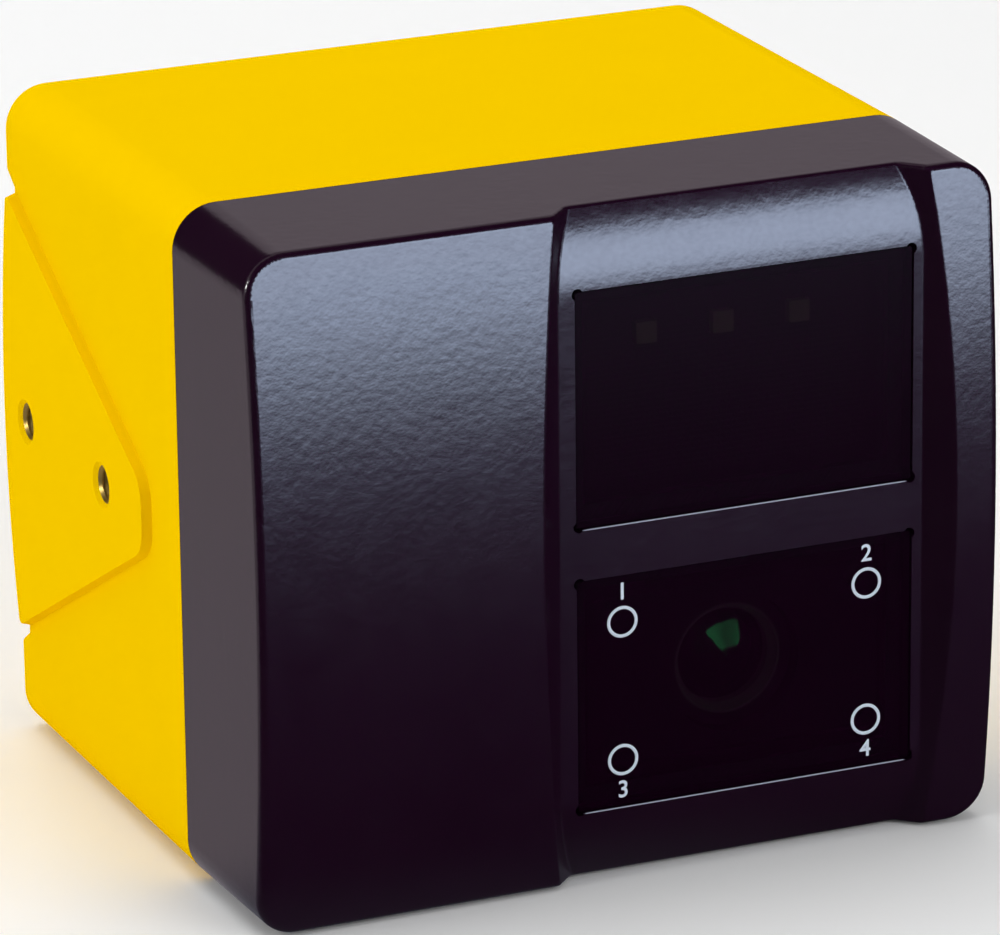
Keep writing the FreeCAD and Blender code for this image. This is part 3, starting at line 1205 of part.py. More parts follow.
def draw_power_circles(sketch, radius):
    circle(sketch, radius)
    for circle_radius, count in ((d.power_circle, 11), (d.power_inner_circle, 5)):
        for index in range(count):
            angle = 2 * math.pi * index / count
            circle(sketch, radius, circle_radius * math.cos(angle), circle_radius * math.sin(angle))


def draw_contact_circles(sketch, radius):
    for quarter in range(4):
        for side in (-1, 1):
            angle = math.radians(90 * quarter + 45 + side * float(d.contact_spread) / 2)
            circle(sketch, radius, d.contact_circle * math.cos(angle), d.contact_circle * math.sin(angle))


def add_cover_screws():
    """Four long socket screws from the rear into the cover."""
    seat = d.rear_depth - d.counterbore_depth
    length = seat - d.joint_depth + d.cover_screw_bite
    body = new_body("cover_screws")
    shank = d.cover_screw - d.thread_clearance
    head_end = seat + d.cover_screw_head_height
    revolve(body, [(0, seat - length), (shank, seat - length), (shank, seat), (d.cover_screw_head, seat),
                   (d.cover_screw_head, head_end), (0, head_end)], screw_dx, screw_dz)
    socket = front_sketch(body, head_end, screw_dx, screw_dz)
    hexagon(socket, d.cover_screw_head / 2.2)
    cut(body, socket, d.cover_screw_head_height / 2, forward=True)
    mirror_to_four(body)


add_front_cover()
add_rear_housing()
add_joint_seal()
add_windows()
add_illumination_unit()
add_optics()
add_status_lights()
add_electronics()
add_flat_cable()
add_connectors()
add_cover_screws()
doc.recompute()

faults = []
for item in doc.Objects:
    if "Invalid" in item.State or "Error" in item.State:
        faults.append(f"{item.Label} ({item.Name}): {item.State}")
for piece in subparts:
    if piece.Shape.isNull() or not piece.Shape.isValid() or not piece.Shape.Solids:
        faults.append(f"{piece.Label}: no valid solid")
if faults:
    raise RuntimeError("; ".join(faults))

os.makedirs("parts", exist_ok=True)
for piece in subparts:
    piece.Shape.exportStep(os.path.join("parts", f"{piece.Label}.step"))
    box = piece.Shape.BoundBox
    print(f"{piece.Label:26s} solids {len(piece.Shape.Solids):2d}  volume {piece.Shape.Volume:10.1f}  "
          f"x {box.XMin:7.2f} {box.XMax:7.2f}  y {box.YMin:7.2f} {box.YMax:7.2f}  z {box.ZMin:7.2f} {box.ZMax:7.2f}")
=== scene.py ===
import json
import math

import bmesh
import bpy
from mathutils import Matrix, Vector


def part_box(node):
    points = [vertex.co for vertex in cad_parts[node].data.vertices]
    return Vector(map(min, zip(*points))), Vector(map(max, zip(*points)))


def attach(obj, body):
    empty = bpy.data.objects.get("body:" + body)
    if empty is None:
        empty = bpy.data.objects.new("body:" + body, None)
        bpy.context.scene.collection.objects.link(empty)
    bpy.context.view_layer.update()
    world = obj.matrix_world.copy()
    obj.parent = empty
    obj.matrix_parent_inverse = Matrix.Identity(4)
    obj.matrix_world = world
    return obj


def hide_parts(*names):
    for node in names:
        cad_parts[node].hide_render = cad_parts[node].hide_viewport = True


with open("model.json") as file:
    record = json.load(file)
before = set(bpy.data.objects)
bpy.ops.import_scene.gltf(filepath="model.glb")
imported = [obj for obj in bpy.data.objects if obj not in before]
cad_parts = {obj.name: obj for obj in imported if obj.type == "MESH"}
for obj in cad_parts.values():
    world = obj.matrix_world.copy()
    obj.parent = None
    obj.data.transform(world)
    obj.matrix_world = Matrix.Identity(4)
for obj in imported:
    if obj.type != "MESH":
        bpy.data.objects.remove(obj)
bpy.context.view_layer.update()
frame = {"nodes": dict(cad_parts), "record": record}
MM = 0.001


def axis_through(low, high):
    """Middle of a box seen from the front, with y left at 0."""
    return Vector(((low.x + high.x) / 2, 0, (low.z + high.z) / 2))


# Where things are, in metres, read from the frame
lens_window_low, lens_window_high = (Vector(corner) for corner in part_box("lens_window"))
lens_axis = axis_through(lens_window_low, lens_window_high)
window_face = lens_window_low.y
housing_low, housing_high = (Vector(corner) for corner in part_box("rear_housing"))
power_low, power_high = (Vector(corner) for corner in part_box("power_connector"))
network_low, network_high = (Vector(corner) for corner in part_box("network_connector"))
power_axis = axis_through(power_low, power_high)
network_axis = axis_through(network_low, network_high)
mounts = {mount["name"]: mount for mount in frame["record"]["mounts"]}

# Thickness of prints and of other thin layers
skin = 0.02 * MM

# Threads of the side holes, from their depth in the housing outwards
mount_thread_start = 33.0 * MM
mount_thread_length = 7.25 * MM
mount_thread_ridge = 0.22 * MM
mount_thread_pitch = 0.7 * MM
countersink = 0.28 * MM

# Threads of both connectors
connector_pitch = 1.0 * MM

# Rings and numbers on the lens window, from the lens axis
print_height = 0.012 * MM
ring_radius = 1.48 * MM
ring_stroke = 0.34 * MM
ring_across = 13.35 * MM
ring_up = 7.25 * MM
number_height = 2.5 * MM
upper_number_up = 9.6 * MM
lower_number_up = -11.2 * MM

# Lower lips of the window pockets, pale with a painted highlight, and the painted shade along the joint
lip_radius = 0.07 * MM
lip_inset = 0.4 * MM
joint_shadow = 0.16 * MM

# The part of the lens with a painted reflection: a fan about a line beside the lens axis, the only place its
# coating mirrors
fan_right = 0.88 * MM
fan_up = -1.04 * MM
fan_inner = 1.25 * MM
fan_outer = 4.35 * MM
fan_soft = 0.25 * MM
fan_left_angle = -0.60
fan_right_angle = 0.38
fan_soft_angle = 0.06
fan_dim_from = -0.20
fan_dim_to = 0.05
fan_dim = 0.45
fan_tilt = 0.78 * MM

# How bright the card is that the paint mirrors
card_strength = 8.5


# Materials

def srgb(red, green, blue):
    """A colour given as it looks on a screen, 0 to 255, as the shader wants it."""
    def linear(value):
        value /= 255
        return value / 12.92 if value <= 0.04045 else ((value + 0.055) / 1.055) ** 2.4
    return (linear(red), linear(green), linear(blue), 1.0)


def fade(nodes, links, value, low, high, first=0.0, second=1.0):
    """Smooth change from the first number to the second as the value passes from low to high."""
    step = nodes.new("ShaderNodeMapRange")
    step.interpolation_type = "SMOOTHSTEP"
    for socket, number in (("From Min", low), ("From Max", high), ("To Min", first), ("To Max", second)):
        step.inputs[socket].default_value = number
    links.new(value, step.inputs["Value"])
    return step.outputs["Result"]


def times(nodes, links, first, second):
    """Product of two sockets."""
    node = nodes.new("ShaderNodeMath")
    node.operation = "MULTIPLY"
    links.new(first, node.inputs[0])
    links.new(second, node.inputs[1])
    return node.outputs[0]


def mirrored_apart(nodes, links, seen, mirrored, surface):
    """One look for what is seen directly and another for what the paint mirrors."""
    path = nodes.new("ShaderNodeLightPath")
    mix = nodes.new("ShaderNodeMixShader")
    links.new(path.outputs["Is Glossy Ray"], mix.inputs["Fac"])
    links.new(seen, mix.inputs[1])
    links.new(mirrored, mix.inputs[2])
    links.new(mix.outputs["Shader"], surface)


class Finish:
    """A material with its principled shader and object coordinates at hand."""

    def __init__(self, name, colour, roughness, metallic=0.0, ior=1.45):
        self.material = bpy.data.materials.new(name)
        self.material.use_nodes = True
        self.nodes = self.material.node_tree.nodes
        self.links = self.material.node_tree.links
        self.shader = self.nodes["Principled BSDF"]
        self.shader.inputs["Base Color"].default_value = colour
        self.shader.inputs["Roughness"].default_value = roughness
        self.shader.inputs["Metallic"].default_value = metallic
        self.shader.inputs["IOR"].default_value = ior
        self.place = self.nodes.new("ShaderNodeTexCoord").outputs["Object"]

    def noise(self, size, detail, stretch=(1, 1, 1)):
        """Noise whose spots are about this size in metres."""
        where = self.nodes.new("ShaderNodeMapping")
        where.inputs["Scale"].default_value = stretch
        self.links.new(self.place, where.inputs["Vector"])
        texture = self.nodes.new("ShaderNodeTexNoise")
        texture.inputs["Scale"].default_value = 1 / size
        texture.inputs["Detail"].default_value = detail
        texture.inputs["Roughness"].default_value = 0.5
        self.links.new(where.outputs["Vector"], texture.inputs["Vector"])
        return texture.outputs["Fac"]

    def bump(self, height, depth):
        """Relief of this depth in metres, on top of any relief already there."""
        node = self.nodes.new("ShaderNodeBump")
        node.inputs["Strength"].default_value = 1.0
        node.inputs["Distance"].default_value = depth
        self.links.new(height, node.inputs["Height"])
        normal = self.shader.inputs["Normal"]
        if normal.is_linked:
            self.links.new(normal.links[0].from_socket, node.inputs["Normal"])
        self.links.new(node.outputs["Normal"], normal)

    def vary(self, socket, amount, low, high):
        """Drive a number of the shader between two values."""
        node = self.nodes.new("ShaderNodeMapRange")
        node.inputs["To Min"].default_value = low
        node.inputs["To Max"].default_value = high
        self.links.new(amount, node.inputs["Value"])
        self.links.new(node.outputs["Result"], self.shader.inputs[socket])

    def tint(self, amount, first, second):
        """Colour that moves from the first to the second."""
        node = self.nodes.new("ShaderNodeMix")
        node.data_type = "RGBA"
        node.inputs["A"].default_value = first
        node.inputs["B"].default_value = second
        self.links.new(amount, node.inputs["Factor"])
        self.links.new(node.outputs["Result"], self.shader.inputs["Base Color"])


def powder_coat(name, colour, deeper, roughness, peel, peel_depth, ior, gloss=0.5):
    """Baked powder paint: slow waves like orange peel, with a finer grain on them."""
    finish = Finish(name, colour, roughness, ior=ior)
    finish.vary("Specular IOR Level", finish.noise(0.6 * peel, 1), 0.9 * gloss, 1.1 * gloss)
    finish.tint(finish.noise(12 * MM, 3), colour, deeper)
    finish.vary("Roughness", finish.noise(3 * MM, 2), roughness - 0.03, roughness + 0.04)
    finish.bump(finish.noise(peel, 2.2), peel_depth)
    finish.bump(finish.noise(peel / 4, 2), peel_depth / 10)
    return finish


def shade_joint(finish, joint, width):
    """Painted shade: a dark line along the joint, where the paint ends at the other half, standing in for the
    shadow in the gap between the halves.
    """
    split = finish.nodes.new("ShaderNodeSeparateXYZ")
    finish.links.new(finish.place, split.inputs["Vector"])
    near = fade(finish.nodes, finish.links, split.outputs["Y"], joint + width * 0.6, joint + width, 1, 0)
    colour = finish.shader.inputs["Base Color"]
    mix = finish.nodes.new("ShaderNodeMix")
    mix.data_type = "RGBA"
    finish.links.new(colour.links[0].from_socket, mix.inputs["A"])
    # colour of the painted shade in the gap
    mix.inputs["B"].default_value = srgb(70, 48, 10)
    finish.links.new(near, mix.inputs["Factor"])
    finish.links.new(mix.outputs["Result"], colour)


def cast_metal(name, colour, roughness, metallic=1.0):
    """Bare metal with fine tool marks across it."""
    finish = Finish(name, colour, roughness, metallic)
    marks = finish.noise(0.5 * MM, 4, stretch=(1, 12, 1))
    finish.vary("Roughness", marks, roughness - 0.08, roughness + 0.12)
    finish.bump(finish.noise(0.12 * MM, 3, stretch=(1, 8, 1)), 0.0015 * MM)
    return finish.material


def moulded(name, colour, roughness):
    """Moulded plastic or rubber with a very fine spark-eroded grain."""
    finish = Finish(name, colour, roughness)
    finish.vary("Roughness", finish.noise(1.5 * MM, 2), roughness - 0.05, roughness + 0.05)
    finish.bump(finish.noise(0.15 * MM, 2), 0.004 * MM)
    return finish.material


def circuit_board(name, mask, lighter, track):
    """Solder mask over copper tracks that run at right angles."""
    finish = Finish(name, mask, 0.35)
    tracks = finish.nodes.new("ShaderNodeTexBrick")
    tracks.inputs["Scale"].default_value = 420
    tracks.inputs["Mortar Size"].default_value = 0.06
    tracks.inputs["Color1"].default_value = mask
    tracks.inputs["Color2"].default_value = lighter
    tracks.inputs["Mortar"].default_value = track
    turn = finish.nodes.new("ShaderNodeMapping")
    turn.inputs["Rotation"].default_value = (math.pi / 2, 0, 0)
    finish.links.new(finish.place, turn.inputs["Vector"])
    finish.links.new(turn.outputs["Vector"], tracks.inputs["Vector"])
    finish.links.new(tracks.outputs["Color"], finish.shader.inputs["Base Color"])
    finish.bump(tracks.outputs["Fac"], 0.02 * MM)
    return finish.material


def dark_window(name):
    """Polished dark plastic that lets a little of the inside show."""
    finish = Finish(name, srgb(20, 1, 17), 0.04, ior=1.36)
    finish.shader.inputs["Alpha"].default_value = 0.7
    finish.bump(finish.noise(9 * MM, 1), 0.003 * MM)
    return finish.material


def about_lens(finish, right=0.0, up=0.0):
    """Angle from straight up and distance from the lens axis, or from a line beside it, in metres."""
    shift = finish.nodes.new("ShaderNodeMapping")
    shift.inputs["Location"].default_value = (-lens_axis.x - right, 0, -lens_axis.z - up)
    shift.inputs["Scale"].default_value = (1, 0, 1)
    finish.links.new(finish.place, shift.inputs["Vector"])
    split = finish.nodes.new("ShaderNodeSeparateXYZ")
    finish.links.new(shift.outputs["Vector"], split.inputs["Vector"])
    angle = finish.nodes.new("ShaderNodeMath")
    angle.operation = "ARCTAN2"
    finish.links.new(split.outputs["X"], angle.inputs[0])
    finish.links.new(split.outputs["Z"], angle.inputs[1])
    distance = finish.nodes.new("ShaderNodeVectorMath")
    distance.operation = "LENGTH"
    finish.links.new(shift.outputs["Vector"], distance.inputs[0])
    return split.outputs["Z"], angle.outputs[0], distance.outputs["Value"]


def coated_lens(name, colour, ior):
    """Lens whose green coating mirrors only within a fan above the middle: a painted reflection that draws the
    shape a lamp's reflection takes in the lens.
    """
    finish = Finish(name, colour, 0.03, ior=ior)
    nodes, links = finish.nodes, finish.links
    finish.shader.inputs["Specular Tint"].default_value = srgb(90, 255, 140)
    finish.vary("Roughness", finish.noise(4 * MM, 1), 0.02, 0.05)
    height, angle, distance = about_lens(finish, fan_right, fan_up)
    fan = fade(nodes, links, angle, fan_left_angle - fan_soft_angle, fan_left_angle)
    for value, low, high, first, second in (
            (angle, fan_right_angle, fan_right_angle + fan_soft_angle, 1, 0),
            (distance, fan_inner - fan_soft, fan_inner, 0, 1),
            (distance, fan_outer, fan_outer + fan_soft, 1, 0)):
        fan = times(nodes, links, fan, fade(nodes, links, value, low, high, first, second))
    # painted reflection, brighter towards both sides of the fan
    bright = nodes.new("ShaderNodeMath")
    bright.operation = "MAXIMUM"
    links.new(fade(nodes, links, angle, fan_left_angle, fan_dim_from, 1, fan_dim), bright.inputs[0])
    links.new(fade(nodes, links, angle, fan_dim_to, fan_right_angle, fan_dim, 1), bright.inputs[1])
    # painted reflection: the coating mirrors only inside the fan
    finish.vary("Specular IOR Level", times(nodes, links, fan, bright.outputs[0]), 0.02, 1.0)
    finish.bump(fade(nodes, links, height, -4.5 * MM, 5.5 * MM, 1, 0), fan_tilt)
    return finish.material


def barrel_coat(name):
    """Dark anodised barrel with a paler ring round the front lens, a painted highlight for the light on its rim.
    """
    finish = Finish(name, srgb(30, 28, 30), 0.45)
    distance = about_lens(finish)[2]
    # painted highlight: a pale ring round the front lens
    ring = fade(finish.nodes, finish.links, distance, 5.7 * MM, 5.9 * MM, 1, 0)
    finish.tint(ring, srgb(30, 28, 30), srgb(176, 190, 172))
    finish.bump(finish.noise(0.2 * MM, 2), 0.004 * MM)
    return finish.material


def clear_plastic(name):
    """Clear moulded plastic of the light guides."""
    finish = Finish(name, srgb(90, 94, 98), 0.12, ior=1.49)
    finish.shader.inputs["Alpha"].default_value = 0.5
    finish.bump(finish.noise(2 * MM, 1), 0.005 * MM)
    return finish.material


def print_ink(name):
    """Pale screen-printed ink with slightly uneven cover."""
    finish = Finish(name, srgb(205, 218, 232), 0.5)
    finish.tint(finish.noise(0.3 * MM, 3), srgb(196, 210, 226), srgb(214, 226, 238))
    finish.bump(finish.noise(0.08 * MM, 2), 0.002 * MM)
    return finish.material


def emitter_chip(name):
    """Pale yellow gel over a light chip."""
    finish = Finish(name, srgb(205, 200, 165), 0.3)
    finish.tint(finish.noise(0.6 * MM, 2), srgb(190, 186, 150), srgb(222, 216, 180))
    return finish.material


cover_coat = powder_coat("cover_paint", srgb(24, 3, 22), srgb(29, 7, 26), 0.20, 0.9 * MM, 0.023 * MM, 1.6)
housing_coat = powder_coat("housing_paint", srgb(244, 199, 0), srgb(241, 196, 0), 0.42, 1.3 * MM, 0.014 * MM,
                           1.36, gloss=0)
# painted shade: a dark line on the housing along its joint with the cover
shade_joint(housing_coat, housing_low.y, joint_shadow)
window_plastic = dark_window("window_plastic")
seal_rubber = moulded("seal_rubber", srgb(18, 16, 18), 0.6)
board_green = circuit_board("board_green", srgb(10, 62, 34), srgb(16, 82, 46), srgb(30, 112, 62))
board_black = circuit_board("board_black", srgb(30, 16, 28), srgb(36, 20, 32), srgb(54, 36, 46))
chip_emitter = emitter_chip("chip_emitter")
bare_aluminium = cast_metal("bare_aluminium", srgb(200, 200, 204), 0.38)
dark_aluminium = cast_metal("dark_aluminium", srgb(30, 28, 30), 0.42)
barrel_metal = barrel_coat("barrel_metal")
lens_coating = coated_lens("lens_coating", srgb(3, 10, 8), 4.3)
clear_guide = clear_plastic("clear_guide")
black_plastic = moulded("black_plastic", srgb(16, 14, 17), 0.55)
chip_plastic = moulded("chip_plastic", srgb(38, 37, 40), 0.5)
heat_pad_rubber = moulded("heat_pad_rubber", srgb(140, 150, 170), 0.8)
amber_film = moulded("amber_film", srgb(170, 92, 24), 0.3)
bright_steel = cast_metal("bright_steel", srgb(176, 174, 172), 0.3, 0.7)
satin_nickel = cast_metal("satin_nickel", srgb(206, 202, 192), 0.24, 0.7)
turned_brass = cast_metal("turned_brass", srgb(200, 168, 96), 0.3)
gold_plate = cast_metal("gold_plate", srgb(226, 184, 96), 0.22)
thread_metal = cast_metal("thread_metal", srgb(168, 142, 76), 0.34, 0.8)
ink = print_ink("ink")
# painted highlight: a pale colour on the pocket lips where their round catches the light
painted_highlight_lip = moulded("painted_highlight_lip", srgb(160, 166, 184), 0.3)

slot_finishes = {
    "cover_paint": cover_coat.material,
    "housing_paint": housing_coat.material,
    "dark_window": window_plastic,
    "seal_rubber": seal_rubber,
    "circuit_board": board_green,
    "light_chip": chip_emitter,
    "bare_aluminium": bare_aluminium,
    "dark_aluminium": dark_aluminium,
    "optical_glass": lens_coating,
    "light_guide_plastic": clear_guide,
    "black_plastic": black_plastic,
    "chip_plastic": chip_plastic,
    "heat_pad_rubber": heat_pad_rubber,
    "cable_film": amber_film,
    "screw_steel": bright_steel,
    "nickel_plate": satin_nickel,
    "pillar_brass": turned_brass,
    "gold_contact": gold_plate,
}
own_finishes = {"lens_barrel": barrel_metal, "illumination_board": board_black}
for part in frame["record"]["subparts"]:
    node = frame["nodes"][part["node"]]
    node.data.materials.clear()
    node.data.materials.append(own_finishes.get(part["node"], slot_finishes[part["material_slot"]]))


# Geometry node trees

class Tree:
    """A geometry node tree with named inputs, ending in real geometry and a material."""

    def __init__(self, name, sizes, counts=()):
        self.group = bpy.data.node_groups.new(name, "GeometryNodeTree")
        face = self.group.interface
        face.new_socket("Geometry", in_out="INPUT", socket_type="NodeSocketGeometry")
        self.sockets = {}
        for label in sizes:
            self.sockets[label] = face.new_socket(label, in_out="INPUT", socket_type="NodeSocketFloat").identifier
        for label in counts:
            self.sockets[label] = face.new_socket(label, in_out="INPUT", socket_type="NodeSocketInt").identifier
        self.sockets["Material"] = face.new_socket(
            "Material", in_out="INPUT", socket_type="NodeSocketMaterial").identifier
        face.new_socket("Geometry", in_out="OUTPUT", socket_type="NodeSocketGeometry")
        self.inputs = self.group.nodes.new("NodeGroupInput").outputs

    def add(self, kind, values=(), **settings):
        """A node with its settings, and its inputs given as sockets or values by name or number."""
        node = self.group.nodes.new(kind)
        for name, value in settings.items():
            setattr(node, name, value)
        for name, value in dict(values).items():
            if isinstance(value, bpy.types.NodeSocket):
                self.group.links.new(value, node.inputs[name])
            else:
                node.inputs[name].default_value = value
        return node.outputs

    def math(self, operation, first, second=None):
        """Result of a sum with one or two values or sockets."""
        values = {0: first} if second is None else {0: first, 1: second}
        return self.add("ShaderNodeMath", values, operation=operation)[0]

    def join(self, *parts):
        """The parts as one geometry."""
        node = self.group.nodes.new("GeometryNodeJoinGeometry")
        for part in parts:
            self.group.links.new(part, node.inputs[0])
        return node.outputs[0]

    def finish(self, geometry):
        """Real geometry with the material, led to the output."""
        real = self.add("GeometryNodeRealizeInstances", {0: geometry})[0]
        dressed = self.add("GeometryNodeSetMaterial", {"Geometry": real, "Material": self.inputs["Material"]})[0]
        out = self.group.nodes.new("NodeGroupOutput")
        self.group.links.new(dressed, out.inputs[0])

    def grow(self, name, material, place=Matrix.Identity(4), **values):
        """A plain mesh object made by the tree, with its place in its mesh."""
        seed = bpy.data.objects.new(name + "_seed", bpy.data.meshes.new(name + "_seed"))
        bpy.context.scene.collection.objects.link(seed)
        modifier = seed.modifiers.new("tree", "NODES")
        modifier.node_group = self.group
        for label, value in values.items():
            modifier[self.sockets[label.replace("_", " ").capitalize()]] = value
        modifier[self.sockets["Material"]] = material
        evaluated = seed.evaluated_get(bpy.context.evaluated_depsgraph_get())
        mesh = bpy.data.meshes.new_from_object(evaluated)
        bpy.data.objects.remove(seed)
        mesh.transform(place)
        return keep(name, mesh, material)


def keep(name, mesh, material):
    """A finished piece that rides on the camera's body."""
    mesh.name = name
    piece = bpy.data.objects.new(name, mesh)
    bpy.context.scene.collection.objects.link(piece)
    if not mesh.materials:
        mesh.materials.append(material)
    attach(piece, "root")
    return piece


def smooth(mesh, angle=35):
    """Round faces shaded smooth, with edges sharper than the angle kept crisp."""
    mesh.polygons.foreach_set("use_smooth", [True] * len(mesh.polygons))
    mesh.set_sharp_from_angle(angle=math.radians(angle))


def thread_tree():
    """A sleeve of two skins, open at its ends, with a ridge that winds round the inner skin. Its axis is z and it
    starts at z = 0.
    """
    tree = Tree("winding_thread", ["Radius", "Ridge", "Pitch", "Length", "Wall"], ["Around", "Along"])
    size = tree.inputs
    sheet = tree.add("GeometryNodeMeshGrid", {
        "Size X": 2 * math.pi, "Size Y": size["Length"],
        "Vertices X": size["Around"], "Vertices Y": size["Along"]})["Mesh"]
    at = tree.add("ShaderNodeSeparateXYZ", {0: tree.add("GeometryNodeInputPosition")[0]})
    angle = at["X"]
    height = tree.math("ADD", at["Y"], tree.math("MULTIPLY", size["Length"], 0.5))
    # a triangle wave along the axis that moves on by one pitch each turn
    turns = tree.math("DIVIDE", angle, 2 * math.pi)
    phase = tree.math("FRACT", tree.math("ADD", tree.math("SUBTRACT", tree.math(
        "DIVIDE", height, size["Pitch"]), turns), 8.0))
    wave = tree.math("ABSOLUTE", tree.math("SUBTRACT", tree.math("MULTIPLY", phase, 2.0), 1.0))
    # the ridge runs out at both ends
    from_ends = tree.math("MINIMUM", height, tree.math("SUBTRACT", size["Length"], height))
    run_out = tree.math("MINIMUM", tree.math("DIVIDE", from_ends, tree.math("MULTIPLY", size["Pitch"], 0.4)), 1.0)
    radius = tree.math("ADD", size["Radius"], tree.math(
        "MULTIPLY", size["Ridge"], tree.math("MULTIPLY", wave, run_out)))
    spot = tree.add("ShaderNodeCombineXYZ", {
        "X": tree.math("MULTIPLY", radius, tree.math("COSINE", angle)),
        "Y": tree.math("MULTIPLY", radius, tree.math("SINE", angle)), "Z": height})[0]
    inner = tree.add("GeometryNodeSetPosition", {"Geometry": sheet, "Position": spot})[0]
    back_radius = tree.math("ADD", size["Radius"], size["Wall"])
    back_spot = tree.add("ShaderNodeCombineXYZ", {
        "X": tree.math("MULTIPLY", back_radius, tree.math("COSINE", angle)),
        "Y": tree.math("MULTIPLY", back_radius, tree.math("SINE", angle)), "Z": height})[0]
    back = tree.add("GeometryNodeSetPosition", {"Geometry": sheet, "Position": back_spot})[0]
    tree.finish(tree.join(inner, back))
    return tree


def close_sleeve(mesh):
    """Join the two skins of a sleeve at both ends and along the seam."""
    shape = bmesh.new()
    shape.from_mesh(mesh)
    shape.verts.ensure_lookup_table()
    half = len(shape.verts) // 2
    top = max(vertex.co.z for vertex in shape.verts)
    for edge in [edge for edge in shape.edges if edge.is_boundary]:
        first, second = edge.verts
        at_end = abs(first.co.z - second.co.z) < 1e-7 and (first.co.z < 1e-6 or first.co.z > top - 1e-6)
        if at_end and first.index < half:
            shape.faces.new((first, second, shape.verts[second.index + half], shape.verts[first.index + half]))
    bmesh.ops.remove_doubles(shape, verts=shape.verts, dist=1e-7)
    bmesh.ops.recalc_face_normals(shape, faces=shape.faces)
    shape.to_mesh(mesh)
    shape.free()


# Turned shapes and prints

def turned(name, profile, material, place, steps=96):
    """A closed turned piece from radius and height pairs, about z of its place."""
    mesh = bpy.data.meshes.new(name)
    shape = bmesh.new()
    rings = []
    for radius, height in profile:
        if radius == 0:
            rings.append([shape.verts.new((0, 0, height))] * steps)
        else:
            rings.append([shape.verts.new((radius * math.cos(2 * math.pi * step / steps),
                                           radius * math.sin(2 * math.pi * step / steps), height))
                          for step in range(steps)])
    pairs = list(zip(rings, rings[1:]))
    if profile[0][0] != 0:
        pairs.append((rings[-1], rings[0]))
    for lower, upper in pairs:
        for step in range(steps):
            corners = [lower[step], lower[(step + 1) % steps], upper[(step + 1) % steps], upper[step]]
            shape.faces.new(list(dict.fromkeys(corners)))
    bmesh.ops.recalc_face_normals(shape, faces=shape.faces)
    shape.to_mesh(mesh)
    shape.free()
    mesh.transform(place)
    smooth(mesh)
    return keep(name, mesh, material)


def looking_along(origin, direction):
    """A place whose z axis points along a direction."""
    return Matrix.Translation(origin) @ Vector(direction).to_track_quat("Z", "Y").to_matrix().to_4x4()


thread = thread_tree()


def add_mounting_thread(name, place, core):
    """Bare metal thread in a side hole, with the machined countersink round it."""
    length = mount_thread_length
    liner = thread.grow(f"{name}_thread", thread_metal, radius=core, ridge=-mount_thread_ridge,
                        pitch=mount_thread_pitch, length=length, wall=skin / 2, around=49, along=120)
    close_sleeve(liner.data)
    liner.data.transform(place)
    smooth(liner.data)
    mouth = core + skin + countersink
    top = length + countersink
    rim = turned(f"{name}_countersink", [
        (core, length - skin / 2), (mouth, top), (mouth + skin, top + 0.05 * MM), (mouth, top + 0.05 * MM),
        (core, length + 0.03 * MM)], thread_metal, place, 64)


def add_mounting_threads():
    """A thread in both holes of each side pad."""
    for side in ("left", "right"):
        pattern = mounts[f"{side}_mounting_holes"]
        outward = Vector(pattern["axis"])
        for end, step in (("front", -1), ("rear", 1)):
            bottom = Vector(pattern["pos_m"])
            bottom.x = outward.x * mount_thread_start
            bottom.y += step * pattern["dims"]["spacing_x_mm"] * MM / 2
            add_mounting_thread(f"{side}_{end}", looking_along(bottom, outward),
                                pattern["dims"]["hole_r_mm"] * MM - skin)


def add_ring_prints():
    """Printed rings over the status lights and a plain number beside each."""
    tree = Tree("printed_rings", ["Radius", "Stroke", "Across", "Upper", "Lower", "Depth"], ["Around"])
    size = tree.inputs
    outer = tree.add("GeometryNodeMeshCircle", {"Vertices": size["Around"], "Radius": size["Radius"]},
                     fill_type="NONE")[0]
    edge = tree.add("GeometryNodeMeshToCurve", {0: outer})[0]
    profile = tree.add("GeometryNodeCurvePrimitiveQuadrilateral", {
        "Width": size["Stroke"], "Height": size["Depth"]}, mode="RECTANGLE")[0]
    ring = tree.add("GeometryNodeCurveToMesh", {"Curve": edge, "Profile Curve": profile})[0]
    places = []
    for side in (-1, 1):
        for height in ("Upper", "Lower"):
            spot = tree.add("ShaderNodeCombineXYZ", {
                "X": tree.math("MULTIPLY", size["Across"], float(side)), "Y": size[height]})[0]
            places.append(tree.add("GeometryNodeTransform", {"Geometry": ring, "Translation": spot})[0])
    tree.finish(tree.join(*places))
    front = Vector((lens_axis.x, window_face - print_height, lens_axis.z))
    rings = tree.grow("ring_prints", ink, looking_along(front, (0, -1, 0)), radius=ring_radius,
                      stroke=ring_stroke, across=ring_across, upper=ring_up, lower=-ring_up,
                      depth=skin, around=64)
    for digit, across, up in (("1", -ring_across, upper_number_up), ("2", ring_across, upper_number_up),
                              ("3", -ring_across, lower_number_up), ("4", ring_across, lower_number_up)):
        curve = bpy.data.curves.new(f"number_{digit}", "FONT")
        curve.body = digit
        curve.size = number_height
        curve.extrude = skin / 2
        curve.align_x = "CENTER"
        curve.offset = 0.03 * MM
        text = bpy.data.objects.new("number", curve)
        bpy.context.scene.collection.objects.link(text)
        mesh = bpy.data.meshes.new_from_object(text.evaluated_get(bpy.context.evaluated_depsgraph_get()))
        bpy.data.objects.remove(text)
        mesh.materials.clear()
        spot = front + Vector((across, 0, up))
        mesh.transform(Matrix.Translation(spot) @ Matrix.Rotation(math.pi / 2, 4, "X"))
        keep(f"number_{digit}", mesh, ink)


